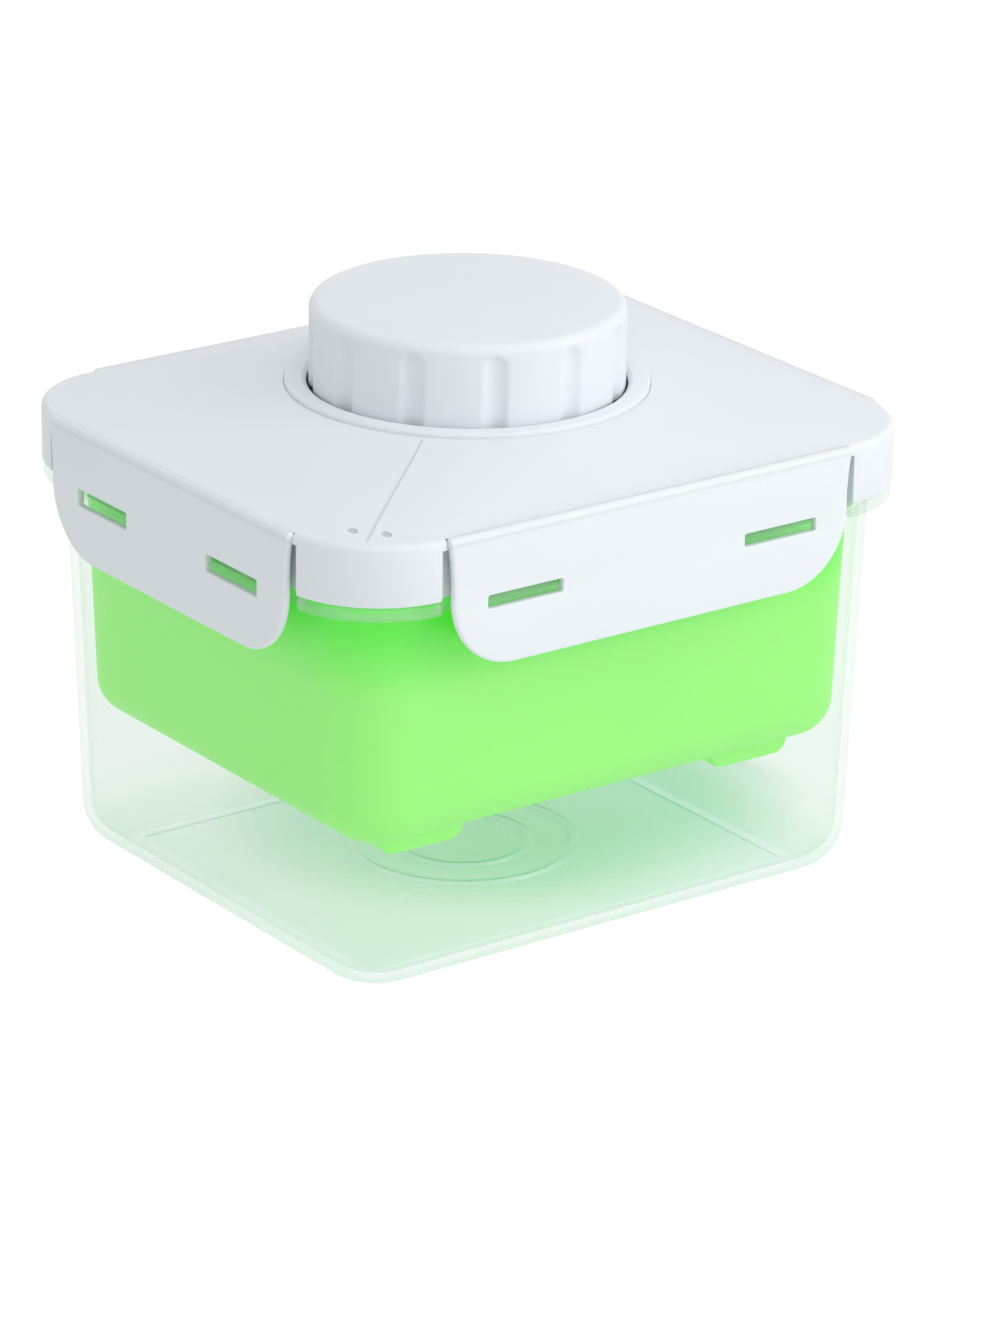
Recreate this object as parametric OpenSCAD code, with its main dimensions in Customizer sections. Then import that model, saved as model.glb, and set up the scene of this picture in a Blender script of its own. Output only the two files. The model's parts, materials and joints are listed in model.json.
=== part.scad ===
// Tofu press: a clear box with a hanging drain basket, a lid with four locking flaps,
// and a large knob whose screw drives a press plate down into the basket.
// Millimetres, +Z up, origin in the middle of the box's underside.

/* [Overall] */
// Length of the lid over its corner skirts
lid_w = 165; // [150:1:200]
// Width of the lid over its corner skirts
lid_d = 143; // [119:1:172]
// Radius of the lid's corners seen from above
corner_r = 24.5; // [20.5:0.5:29.5]
// Height of the box's rim over the table
box_h = 102; // [85:1:123]
// Lean of the box's and basket's walls, in degrees
draft = 1.9; // [1:0.1:2.3]

/* [Box] */
// Thickness of the box's walls
box_wall = 2; // [1.6:0.1:2.4]
// Thickness of the box's floor
box_floor = 2.5; // [2:0.1:3.2]
// How far the box's wall stands in from the lid's outline, at the rim
box_inset = 5.2; // [5:0.1:6]
// Radius between the box's walls and its floor
box_bottom_r = 11; // [8:0.5:13]
// Thickness of the flange round the box
flange_t = 3; // [2.4:0.1:3.6]
// Depth of the shallow recess under the box
foot_recess = 0.8; // [0.4:0.1:1.2]

/* [Basket] */
// Thickness of the basket's walls
basket_wall = 1.8; // [1.4:0.1:2.2]
// Thickness of the basket's floor
basket_floor = 2.2; // [1.8:0.1:3]
// Depth of the basket under the box's rim
basket_depth = 68.6; // [57:0.1:70]
// Gap between the box's wall and the basket's wall
basket_gap = 2.8; // [2:0.1:3.4]
// Radius between the basket's walls and its floor
basket_bottom_r = 9; // [7:0.5:11]
// Thickness of the basket's rim
basket_rim_t = 1.8; // [1.4:0.1:2.2]
// Height of the basket's feet
basket_foot_h = 4.6; // [3:0.1:7]
// Length of a basket foot
basket_foot_l = 22.6; // [17:0.1:27]
// Width of a drain slot
drain_w = 2.6; // [2:0.1:3.2]
// Length of a drain slot
drain_l = 15; // [11:0.5:17]

/* [Lid] */
// Thickness of the lid
lid_wall = 2; // [1.6:0.1:2.4]
// Height of the lid's edge over the box's rim
lid_over_rim = 9.3; // [8.6:0.1:11]
// Height of the lid's corner skirts
skirt_h = 14.6; // [13:0.1:16]
// Rise of the lid's top from its edge to the collar
roof_rise = 6.6; // [5:0.1:8]
// Radius along the lid's top edge
lid_edge_r = 1.6; // [1:0.1:2]

/* [Flaps] */
// Thickness of a flap
flap_t = 1.9; // [1.6:0.1:2.2]
// Height of a flap under the lid's edge
flap_h = 32; // [28:0.5:38]
// Radius of a flap's lower corners
flap_corner_r = 17; // [12:0.5:20]
// Distance from the lid's corner to the end of a long flap
long_flap_end = 27; // [24:0.5:30]
// Distance from the lid's corner to the end of a short flap
short_flap_end = 23.5; // [22:0.5:28]
// How far the flaps stand out from the corner skirts
flap_stand = 1.2; // [0:0.1:1.2]
// Radius of the hinge roll along a flap's top edge
hinge_r = 1.3; // [1.1:0.1:1.5]
// Length of a latch slot
slot_l = 20.5; // [16:0.5:23]
// Height of a latch slot in a long flap
long_slot_h = 3.2; // [3:0.1:4.6]
// Height of a latch slot in a short flap
short_slot_h = 4.2; // [3:0.1:4.6]
// Depth of a latch slot's middle under the lid's edge
slot_drop = 16.6; // [16:0.1:18]
// Distance from a long flap's end to the middle of its slot
long_slot_at = 19.6; // [17:0.1:23]
// Distance from a short flap's end to the middle of its slot
short_slot_at = 21.4; // [17:0.1:23]

/* [Knob] */
// Radius of the knob
knob_r = 36.8; // [31:0.1:44.2]
// Height of the knob over the collar
knob_h = 18.9; // [17:0.1:22]
// Gap between the knob and the collar
knob_gap = 1.7; // [1:0.1:2.4]
// Thickness of the knob's shell
knob_wall = 2.2; // [1.8:0.1:2.6]
// Radius along the knob's top edge
knob_edge_r = 2.4; // [1.4:0.1:2.6]
// Rise of the knob's domed top
knob_dome = 0.9; // [0.5:0.1:1.6]
// Number of grooves round the knob
groove_n = 12; // [8:1:16]
// Depth of a knob groove
groove_depth = 1.2; // [0.8:0.1:1.5]
// Radius of the rounded cutter that makes a groove
groove_r = 4.4; // [3:0.1:6]
// Width of the raised collar round the knob
collar_w = 4; // [3:0.1:5]
// Height of the collar over the lid
collar_h = 1.1; // [0.8:0.1:1.6]

/* [Screw] */
// Travel of the press plate
travel = 18; // [15:0.5:18]
// Lead of the screw, the travel in one turn
lead = 18; // [15:0.5:21.5]
// Number of thread starts
starts = 4; // [3:1:4]
// Outer radius of the thread
thread_r = 24; // [20:0.1:26]
// Depth of the thread
thread_depth = 1.6; // [1.2:0.1:1.8]
// Radial clearance of the thread
thread_gap = 0.5; // [0.45:0.05:0.6]
// Length of the thread inside the nut
nut_thread_l = 9.5; // [8:0.5:12]
// Thickness of the nut's wall outside its thread
nut_wall = 2.7; // [2.2:0.1:3.2]

/* [Press plate] */
// Thickness of the press plate
plate_t = 3; // [2.4:0.1:3.6]
// Gap between the press plate and the basket at the lowest point
plate_gap = 1; // [0.8:0.1:1.6]
// Height of the plate's underside over the basket's floor, with the knob up
plate_lift = 44; // [40:0.5:47]
// Thickness of the plate's ribs
rib_t = 2; // [1.6:0.1:2.4]

/* [Hidden] */
$fn = 96;
eps = 0.01;                 // overlap that joins shapes
seat = 0.1;                 // gap between flat faces of pieces that can part
slip = 0.3;                 // gap between pieces that move past each other
lean = tan(draft);
white = [0.93, 0.94, 0.96];
clear = [0.80, 0.92, 0.88, 0.45];
green = [0.45, 0.95, 0.32, 0.8];

// heights
edge_z = box_h + lid_over_rim;             // edge of the lid's top
skirt_z = edge_z - skirt_h;                // lower edge of the lid's skirts
flange_z = skirt_z - slip - flange_t;      // underside of the box's flange
roof_z = edge_z + roof_rise;               // lid's top at the collar
collar_z = roof_z + collar_h;              // top of the collar
knob_top_z = collar_z + knob_h;            // top of the knob's edge
basket_z = box_h - basket_depth;           // underside of the basket
basket_in_z = basket_z + basket_floor;     // top of the basket's floor
rim_z = box_h + basket_rim_t;              // top of the basket's rim

// insets from the lid's outline
basket_inset = box_inset + box_wall + basket_gap;
flap_clear = 0.6;                          // gap behind a flap
side_inset = flap_t + flap_clear;          // outer face of the lid's wall behind a flap
side_wall = 1.7;                           // thickness of that wall
channel_w = 5.8;                           // width of the gasket's channel
channel_inset = side_inset + side_wall + channel_w;
channel_wall = 1.4;                        // wall on the channel's inner side
channel_z = rim_z + 0.7;                   // lower edge of that wall
flap_end_gap = 2.4;                        // gap between a flap's end and the corner skirt
flap_flare = 1;                            // how far a flap's end leans out up to the hinge
flare_h = 9;                               // height of that lean
roll_end_gap = 0.15;                       // gap at each end of the hinge roll
roof_rib_t = 1.6;                          // thickness of the ribs under the lid's roof
foot_ring_w = 4;                           // width of the flat ring that the box stands on
roof_flat_w = 2.5;                         // level ring of the lid's top round the collar
floor_rings = [16, 27];                    // radii of the low rings on the box's floor
drain_bar_l = 4;                           // floor left between the ends of two drain slots
drain_bar_w = 7;                           // floor left between the sides of two drain slots
foot_room = 8;                             // floor kept whole round a basket foot
foot_w = 6;                                // thickness of a basket foot
foot_in = 3;                               // from the edge of the basket's flat floor to a foot

// lugs in the flaps' slots
lug_tip = 0.6;                             // from a flap's outer face in to a lug's tip
lug_h = 2.2;
lug_slope = 1.2;                           // fall of a lug's underside towards the box
lug_bevel = 0.8;
lug_end_gap = 0.6;                         // gap between a lug's end and the slot's

// well of the screw housing
well_r = knob_r + knob_gap;
well_wall = 2;
knob_skirt_z = collar_z - 2;               // lower edge of the knob, at rest
well_floor_z = knob_skirt_z - travel - 1.2;
well_floor_t = 2.2;
nut_r = thread_r + thread_gap + nut_wall;
nut_flange_r = knob_r - knob_wall - 0.8;
nut_flange_t = 2.6;
nut_relief = 0.3;                          // plain bore below the nut's thread, beyond its crests
stem_r = thread_r - thread_depth - 0.2;    // plain part of the stem
stem_bore_r = stem_r - 3.2;
knob_in_z = knob_top_z - knob_wall;        // underside of the knob's top
stem_flange_t = 2.4;
nut_top_z = knob_in_z - stem_flange_t - travel - 1.6;
groove_phase = 4.2;                        // turn of the knob's grooves, in degrees

// press plate and its swivel
plate_z = basket_in_z + plate_lift;
plate_inset = basket_inset + basket_wall + (box_h - (plate_z - travel)) * lean + plate_gap;
hub_r = 16;
hub_z = plate_z + plate_t + 2;
washer_t = 1;
web_z = hub_z + washer_t + 2 * seat;       // underside of the stem's end
web_t = 3;
post_r = 6;
post_z = web_z + web_t + 2 * seat;
cup_gap = 0.7;
cup_wall = 2.2;
cup_r = stem_r + cup_gap + cup_wall;
cup_h = 8;
plate_rim_h = 4;
pivot_head_r = 4.2;
pivot_head_h = 2.6;
pivot_shank_r = 2;

// screws that hold the nut
nut_screw_n = 4;
nut_screw_turn = 45;                       // turn of the first one, in degrees
nut_screw_r = 1.5;
nut_screw_head_r = 2.7;
nut_screw_head_h = 1.8;
nut_screw_at = (nut_r + nut_flange_r) / 2;

// ring that holds the housing up against the lid
clip_w = 3.4;
clip_t = 2.4;

// mark on the lid's front left corner
mark_w = 0.9;
mark_depth = 0.4;
mark_end = 13;                             // from the mark's end to the sharp corner
dimple_r = 1.1;
dimple_depth = 0.7;
dimple_step = 3.8;                         // from the mark to a dimple
dimple_inset = [13.2, 11.6];               // from the sharp corner

function inset_at(inset, z) = inset + (box_h - z) * lean;
function side_half(k) = (k % 2 == 0 ? lid_d : lid_w) / 2;
function flap_half(k) = k % 2 == 0 ? lid_w / 2 - long_flap_end : lid_d / 2 - short_flap_end;
function slot_h(k) = k % 2 == 0 ? long_slot_h : short_slot_h;
function slot_x(k) = flap_half(k) - (k % 2 == 0 ? long_slot_at : short_slot_at);
// Outline of the thread across its axis, grown by the gaps given
function thread_outline(radial, turn) = [
    for (i = [0 : starts - 1], p = [-1, 0, 1, 2, 3, 4, 5])
        let (pitch = 360 / starts,
             crest = pitch * 0.145 + turn,
             foot = pitch * 0.3 + turn,
             a = p < 2 ? p * crest : foot + (p - 2) * (pitch - 2 * foot) / 3,
             r = thread_r + radial - (p < 2 ? 0 : thread_depth))
        [r * cos(a + i * pitch), r * sin(a + i * pitch)]
];

// The lid's outline drawn in by an inset
module outline(inset) {
    r = max(corner_r - inset, 1);
    w = lid_w - 2 * inset;
    d = lid_d - 2 * inset;
    square([w - 2 * r, d], center = true);
    square([w, d - 2 * r], center = true);
    for (x = [-1, 1], y = [-1, 1]) translate([x * (w / 2 - r), y * (d / 2 - r)]) circle(r = r);
}

// The same, drawn in further beside the flaps than at the corners
module outline_by_flaps(at_corners, at_flaps, spare) {
    difference() {
        outline(at_corners);
        for (k = [0 : 3]) rotate(90 * k) translate([0, -side_half(k)])
            square([2 * (flap_half(k) + spare), 2 * at_flaps], center = true);
    }
}

module slab(inset, z, t) {
    translate([0, 0, z]) linear_extrude(t) outline(inset);
}

// Puts its children on side k: x along the side, y into the press from its outer face
module on_side(k) {
    rotate(90 * k) translate([0, -side_half(k), 0]) children();
}

// A solid tub that leans outward, with a rounded bottom
module tub(inset, z0, z1, r) {
    hull() {
        for (a = [0 : 15 : 90])
            slab(inset_at(inset, z0) + r * (1 - sin(a)), z0 + r * (1 - cos(a)), eps, $fn = 48);
        slab(inset_at(inset, z1), z1 - eps, eps, $fn = 48);
    }
}

// A slot with round ends, as an area
module slot2d(l, w) {
    square([l - w, w], center = true);
    for (x = [-1, 1]) translate([x * (l - w) / 2, 0]) circle(d = w, $fn = 24);
}

// A ring turned about the axis
module tube(r_out, r_in, z, h) {
    translate([0, 0, z]) difference() {
        cylinder(r = r_out, h = h);
        translate([0, 0, -1]) cylinder(r = r_in, h = h + 2);
    }
}

module thread(radial, turn, z, h) {
    // the section turns with height so that pieces cut at any height stay in mesh
    translate([0, 0, z]) rotate(360 * z / lead)
        linear_extrude(h, twist = -360 * h / lead, slices = ceil(h * 36 / lead), segments = 7 * starts)
            polygon(thread_outline(radial, turn));
}

module container() {
    color(clear) {
        difference() {
            union() {
                tub(box_inset, 0, box_h, box_bottom_r);
                translate([0, 0, flange_z]) linear_extrude(flange_t)
                    outline_by_flaps(0.4, side_inset, flap_end_gap);
                for (k = [0 : 3], s = [-1, 1]) on_side(k)
                    translate([s * slot_x(k), 0, edge_z - slot_drop - slot_h(k) / 2]) latch_lug();
            }
            tub(box_inset + box_wall, box_floor, box_h + 1, box_bottom_r - box_wall);
            slab(inset_at(box_inset, 0) + box_bottom_r + foot_ring_w, -1, 1 + foot_recess);
        }
        // low rings moulded in the middle of the floor
        for (r = floor_rings) rotate_extrude() translate([r, box_floor - eps])
            polygon([[-1.1, 0], [1.1, 0], [0.6, 0.9], [-0.6, 0.9]]);
    }
}

// Lug on the box that stands in a flap's slot, from the slot's lower edge; its top is level and holds
module latch_lug() {
    root = box_inset + 1;                  // sunk into the box's wall
    tip = lug_tip - flap_stand;
    translate([0, 0, slip]) rotate([90, 0, 90]) linear_extrude(slot_l - 2 * lug_end_gap, center = true)
        polygon([[tip, 0.3], [root, -lug_slope], [root, lug_h], [tip + lug_bevel, lug_h],
                 [tip, lug_h - lug_bevel]]);
}

module basket() {
    flat = inset_at(basket_inset, basket_z) + basket_bottom_r;
    half_w = lid_w / 2 - flat;
    half_d = lid_d / 2 - flat;
    step_x = drain_l + drain_bar_l;
    step_y = drain_w + drain_bar_w;
    columns = floor((2 * half_w - drain_bar_l) / step_x);
    rows = floor((2 * half_d - drain_bar_l) / step_y);
    color(green) difference() {
        union() {
            tub(basket_inset, basket_z, rim_z, basket_bottom_r);
            slab(box_inset - 0.2, box_h + seat, basket_rim_t - seat);
            for (x = [-1, 1], y = [-1, 1])
                translate([x * (half_w - foot_in - basket_foot_l / 2), y * (half_d - foot_w / 2), basket_z])
                    basket_foot();
        }
        tub(basket_inset + basket_wall, basket_in_z, rim_z + 1, basket_bottom_r - basket_wall);
        // drain slots, but none over a foot
        for (i = [0 : columns - 1], j = [0 : rows - 1]) {
            x = (i - (columns - 1) / 2) * step_x;
            y = (j - (rows - 1) / 2) * step_y;
            if (abs(y) < half_d - foot_room || abs(x) < half_w - basket_foot_l - foot_room)
                translate([x, y, basket_z - 1]) linear_extrude(basket_floor + 2) slot2d(drain_l, drain_w);
        }
    }
}

// A short runner with rounded ends, hanging under the basket's floor
module basket_foot() {
    r = basket_foot_h - 1;
    l = basket_foot_l;
    rotate([90, 0, 0]) linear_extrude(foot_w, center = true) {
        translate([-l / 2, r - basket_foot_h]) square([l, basket_foot_h - r + 1.5]);
        translate([-l / 2 + r, -basket_foot_h]) square([l - 2 * r, basket_foot_h]);
        for (x = [-1, 1]) translate([x * (l / 2 - r), r - basket_foot_h]) circle(r = r, $fn = 48);
    }
}

module lid() {
    under = lid_edge_r + lid_wall;
    color(white) difference() {
        union() {
            lid_block();
            for (k = [0 : 3]) on_side(k) hinge_ledge(flap_half(k) + flap_flare);
        }
        // room for the box's lip, the basket's rim and the gasket
        translate([0, 0, skirt_z - 1]) linear_extrude(channel_z - skirt_z + 1)
            outline_by_flaps(lid_wall, side_inset + side_wall, flap_end_gap + lid_wall);
        translate([0, 0, channel_z - eps]) linear_extrude(edge_z - lid_wall - channel_z) difference() {
            outline_by_flaps(lid_wall, side_inset + side_wall, flap_end_gap + lid_wall);
            outline(channel_inset);
        }
        // hollow under the roof, but for the ribs
        difference() {
            hull() {
                slab(channel_inset + channel_wall, channel_z - 1, eps, $fn = 48);
                slab(channel_inset + channel_wall, edge_z - lid_wall + 0.6, eps, $fn = 48);
                translate([0, 0, roof_z - lid_wall - 1]) cylinder(r = well_r + collar_w, h = eps, $fn = 64);
            }
            roof_ribs();
        }
        // opening for the screw housing
        translate([0, 0, skirt_z]) cylinder(r = well_r + well_wall + seat, h = 60);
        translate([0, 0, roof_z - 1]) cylinder(r = well_r + collar_w + seat, h = 10);
        for (k = [0 : 3]) on_side(k) flap_room(flap_half(k));
        corner_mark();
    }
}

// The lid's outside: corner skirts, rounded edge and the roof that rises to the collar
module lid_block() {
    hull() {
        slab(0, skirt_z, eps, $fn = 48);
        for (a = [0 : 30 : 90])
            slab(lid_edge_r * (1 - cos(a)), edge_z - lid_edge_r * (1 - sin(a)), eps, $fn = 48);
        translate([0, 0, roof_z]) cylinder(r = well_r + collar_w + roof_flat_w, h = eps, $fn = 64);
    }
}

// Square edge of the lid's top, against which the hinge roll lies
module hinge_ledge(half) {
    translate([-half, 0, edge_z - lid_edge_r]) cube([2 * half, lid_edge_r, lid_edge_r - 2 * eps]);
}

// Ribs under the roof, out from the ring that the housing's clip needs
module roof_ribs() {
    start = well_r + well_wall + clip_w + 1;
    low = channel_z + 2;
    diagonal = atan2(lid_d - 2 * channel_inset, lid_w - 2 * channel_inset);
    for (a = [0, diagonal, 90, 180 - diagonal], half = [0, 180]) rotate(a + half)
        translate([start, -roof_rib_t / 2, low]) cube([lid_w, roof_rib_t, roof_z - low]);
}

// Space that a flap of this half length takes in the lid's edge
module flap_room(half) {
    wide = half + flap_end_gap;
    roll = half + flap_flare + roll_end_gap;
    translate([-wide, -1, skirt_z - 1]) cube([2 * wide, side_inset + 1, hinge_z() - hinge_r - skirt_z + 1]);
    translate([-roll, -1, hinge_z() - hinge_r - eps]) cube([2 * roll, hinge_in() + 1.6, 10]);
    translate([-roll, hinge_in(), hinge_z()]) rotate([0, 90, 0]) cylinder(r = hinge_r + seat, h = 2 * roll);
}

function hinge_z() = edge_z - hinge_r;
function hinge_in() = hinge_r - flap_stand;

// A fine line from the collar to one corner, with a dimple on each side of its end
module corner_mark() {
    corner = [lid_w / 2, lid_d / 2];
    dir = corner / norm(corner);
    across = [-dir[1], dir[0]];
    from = well_r + collar_w + roof_flat_w;
    to = norm(corner) - mark_end;
    rise = atan2(roof_z - edge_z - 0.5, to - from);
    rotate(180 + atan2(corner[1], corner[0]))
        translate([from - 1, -mark_w / 2, roof_z - mark_depth])
            rotate([0, rise, 0]) cube([(to - from) / cos(rise), mark_w, 4]);
    for (s = [-1, 1])
        translate([-corner[0] + dimple_inset[0] + s * across[0] * dimple_step,
                   -corner[1] + dimple_inset[1] + s * across[1] * dimple_step, edge_z])
            cylinder(r = dimple_r, h = 6, $fn = 24);
}

module lid_gasket() {
    top = edge_z - lid_wall - seat;
    bottom = rim_z + slip;
    outer = side_inset + side_wall + 0.3;
    inner = channel_inset - 0.2;
    color([0.86, 0.88, 0.88]) translate([0, 0, bottom]) difference() {
        linear_extrude(top - bottom) difference() {
            outline(outer);
            outline(inner);
        }
        // the groove that leaves two sealing lips
        translate([0, 0, -1]) linear_extrude(1 + (top - bottom) * 0.45) difference() {
            outline(outer + 1.4);
            outline(inner - 1.4);
        }
    }
}

module flap(k) {
    half = flap_half(k);
    drop = flap_h - hinge_r;
    r = flap_corner_r;
    top = half + flap_flare;
    color(white) on_side(k) translate([0, -flap_stand, hinge_z()]) {
        difference() {
            translate([0, flap_t, 0]) rotate([90, 0, 0]) linear_extrude(flap_t) intersection() {
                // ends that lean out a little towards the hinge
                polygon([[-top, 0], [-half, -flare_h], [-half, -drop],
                         [half, -drop], [half, -flare_h], [top, 0]]);
                union() {
                    translate([-top, r - drop]) square([2 * top, drop]);
                    translate([-half + r, -drop]) square([2 * (half - r), drop]);
                    for (x = [-1, 1]) translate([x * (half - r), r - drop]) circle(r = r);
                }
            }
            for (x = [-1, 1]) translate([x * slot_x(k), 0, hinge_r - slot_drop])
                cube([slot_l, 3 * flap_t, slot_h(k)], center = true);
        }
        translate([-top, hinge_r, 0]) rotate([0, 90, 0]) cylinder(r = hinge_r, h = 2 * top, $fn = 32);
    }
}

module flap_front() flap(0);
module flap_right() flap(1);
module flap_back() flap(2);
module flap_left() flap(3);

// The cup in the middle of the lid that the knob sinks into, with the collar as its rim
module screw_housing() {
    floor_under = well_floor_z - well_floor_t;
    rim = well_r + collar_w;
    color(white) difference() {
        rotate_extrude() difference() {
            union() {
                polygon([[nut_r + seat, floor_under], [well_r + well_wall, floor_under],
                         [well_r + well_wall, roof_z - 1 + seat], [rim, roof_z - 1 + seat],
                         [rim, collar_z - 0.7], [rim - 0.7, collar_z], [well_r + 0.5, collar_z],
                         [well_r, collar_z - 0.5], [well_r, well_floor_z], [nut_r + seat, well_floor_z]]);
            }
            // groove for the clip
            translate([well_r + well_wall - 0.8, clip_z()]) square([2, clip_t + 2 * seat]);
        }
        nut_screw_holes(floor_under - 1, nut_screw_r - 0.05);
    }
}

function clip_z() = roof_z - lid_wall - 1 - clip_t - 3 * seat;

module nut_screw_holes(z, r) {
    for (i = [0 : nut_screw_n - 1]) rotate(nut_screw_turn + i * 360 / nut_screw_n)
        translate([nut_screw_at, 0, z]) cylinder(r = r, h = 40, $fn = 24);
}

// Split ring that snaps into the housing's groove under the lid's roof
module housing_clip() {
    r_in = well_r + well_wall - 0.8 + seat;
    color("silver") difference() {
        tube(r_in + clip_w, r_in, clip_z() + seat, clip_t);
        translate([0, -2, clip_z()]) cube([2 * well_r, 4, clip_t + 1]);
    }
}

module thread_nut() {
    low = well_floor_z - well_floor_t;
    thread_z = nut_top_z - nut_thread_l;
    turn = 0.35 * 360 / lead;
    color([0.82, 0.84, 0.86]) difference() {
        union() {
            translate([0, 0, low]) cylinder(r = nut_r, h = nut_top_z - low);
            translate([0, 0, well_floor_z]) cylinder(r = nut_flange_r, h = nut_flange_t);
        }
        translate([0, 0, low - 1]) cylinder(r = thread_r + thread_gap + nut_relief, h = thread_z - low + 1);
        thread(thread_gap, turn, thread_z - 0.5, nut_thread_l + 1);
        nut_screw_holes(low - 1, nut_screw_r + 0.1);
    }
}

module nut_screws() {
    top = well_floor_z + nut_flange_t;
    color("silver") for (i = [0 : nut_screw_n - 1]) rotate(nut_screw_turn + i * 360 / nut_screw_n)
        translate([nut_screw_at, 0, 0]) {
            translate([0, 0, well_floor_z - well_floor_t - 1])
                cylinder(r = nut_screw_r - 0.1, h = nut_flange_t + well_floor_t + 1.5, $fn = 24);
            difference() {
                translate([0, 0, top]) cylinder(r = nut_screw_head_r, h = nut_screw_head_h, $fn = 32);
                for (t = [0, 90]) rotate(t) translate([-1.6, -0.35, top + 0.8]) cube([3.2, 0.7, 2]);
            }
        }
}

module knob_cap() {
    r = knob_r;
    rc = knob_edge_r;
    groove_half = sqrt(groove_r * groove_r - pow(groove_r - groove_depth, 2));
    dome_r = (pow(r - rc, 2) + pow(knob_dome, 2)) / (2 * knob_dome);
    color(white) difference() {
        union() {
            // shell, turned
            rotate_extrude() difference() {
                union() {
                    translate([0, knob_skirt_z]) square([r - 0.6, knob_top_z - rc - knob_skirt_z]);
                    translate([0, knob_skirt_z + 0.6]) square([r, knob_top_z - rc - knob_skirt_z - 0.6]);
                    translate([0, knob_top_z - rc - eps]) square([r - rc, rc + eps]);
                    translate([r - rc, knob_top_z - rc]) circle(r = rc, $fn = 48);
                    intersection() {
                        translate([0, knob_top_z + knob_dome - dome_r]) circle(r = dome_r, $fn = 360);
                        translate([0, knob_top_z - 1]) square([r - rc, 5]);
                    }
                }
                translate([-1, knob_skirt_z - 1])
                    square([r - knob_wall + 1, knob_in_z - knob_skirt_z + 1]);
                translate([-200, 0]) square([200, 2 * knob_top_z]);
            }
            // ring that centres the stem's flange
            tube(stem_flange_r() + 2, stem_flange_r() + seat, knob_in_z - stem_flange_t, stem_flange_t + eps);
        }
        for (i = [0 : groove_n - 1]) rotate(groove_phase + i * 360 / groove_n)
            translate([r - groove_depth + groove_r, 0, 0]) {
                translate([0, 0, knob_skirt_z - 1])
                    cylinder(r = groove_r, h = knob_top_z - rc - groove_half - knob_skirt_z + 1);
                translate([0, 0, knob_top_z - rc - groove_half]) sphere(r = groove_r);
            }
    }
}

function stem_flange_r() = thread_r + 5;

module screw_stem() {
    thread_low = nut_top_z - nut_thread_l - 1;
    thread_top = knob_in_z - stem_flange_t;
    color([0.82, 0.84, 0.86]) difference() {
        union() {
            translate([0, 0, web_z]) cylinder(r = stem_r, h = thread_low - web_z + eps);
            thread(0, 0, thread_low, thread_top - thread_low + eps);
            translate([0, 0, thread_top]) cylinder(r = stem_flange_r(), h = stem_flange_t);
        }
        translate([0, 0, web_z + web_t]) cylinder(r = stem_bore_r, h = 80);
        translate([0, 0, web_z - 1]) cylinder(r = post_r + seat, h = web_t + 2);
    }
}

module press_plate() {
    top = plate_z + plate_t;
    color(green) difference() {
        union() {
            slab(plate_inset, plate_z, plate_t);
            // upstand round the edge
            translate([0, 0, top - eps]) linear_extrude(plate_rim_h) difference() {
                outline(plate_inset);
                outline(plate_inset + rib_t);
            }
            // hub, the post that the stem turns on, and the cup round the stem's end
            translate([0, 0, plate_z]) cylinder(r = hub_r, h = hub_z - plate_z);
            translate([0, 0, plate_z]) cylinder(r = post_r, h = post_z - plate_z);
            tube(cup_r, cup_r - cup_wall, top - eps, cup_h);
            plate_ribs(top - eps);
        }
        plate_drains();
        translate([0, 0, plate_z + 1.5]) cylinder(r = pivot_shank_r + 0.05, h = 40, $fn = 32);
    }
}

// Ribs from the cup to the upstand, each sloping down to it
module plate_ribs(z) {
    w = lid_w / 2 - plate_inset;
    d = lid_d / 2 - plate_inset;
    diagonal = atan2(d, w);
    for (a = [0, diagonal, 90, 180 - diagonal])
        for (turn = [0, 180]) rotate(a + turn) {
            far = a == 0 ? w : (a == 90 ? d : norm([w, d]) - 0.42 * (corner_r - plate_inset));
            translate([0, rib_t / 2, z]) rotate([90, 0, 0]) linear_extrude(rib_t)
                polygon([[cup_r - cup_wall / 2, 0], [far - rib_t / 2, 0],
                         [far - rib_t / 2, plate_rim_h], [cup_r - cup_wall / 2, cup_h - 1]]);
        }
}

module plate_drains() {
    w = lid_w / 2 - plate_inset - 8;
    d = lid_d / 2 - plate_inset - 8;
    step = 11;
    for (i = [-floor(w / step) : floor(w / step)], j = [-floor(d / step) : floor(d / step)])
        if (clear_of_ribs(i * step, j * step)) translate([i * step, j * step, plate_z - 1])
            cylinder(d = 4.4, h = plate_t + 2, $fn = 24);
}

// True where a drain hole misses the hub, the cup and every rib
function clear_of_ribs(x, y) =
    let (w = lid_w / 2 - plate_inset, d = lid_d / 2 - plate_inset, free = 3.6)
    norm([x, y]) > cup_r + 3.2 && abs(x) > free && abs(y) > free
    && abs(abs(x) * d - abs(y) * w) / norm([w, d]) > free;

module thrust_washer() {
    color([0.95, 0.93, 0.86]) tube(hub_r - 2, post_r + 0.3, hub_z, washer_t);
}

module pivot_washer() {
    color("silver") tube(post_r + 3.5, pivot_shank_r + 0.1, post_z, washer_t);
}

module pivot_screw() {
    top = post_z + washer_t;
    color("silver") {
        translate([0, 0, plate_z + 2.5]) cylinder(r = pivot_shank_r, h = top - plate_z - 2, $fn = 32);
        difference() {
            translate([0, 0, top]) cylinder(r = pivot_head_r, h = pivot_head_h);
            for (t = [0, 90]) rotate(t) translate([-2.2, -0.5, top + 1.2]) cube([4.4, 1, 3]);
        }
    }
}

container();
basket();
lid();
lid_gasket();
flap_front();
flap_right();
flap_back();
flap_left();
screw_housing();
housing_clip();
thread_nut();
nut_screws();
knob_cap();
screw_stem();
press_plate();
thrust_washer();
pivot_washer();
pivot_screw();
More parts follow.
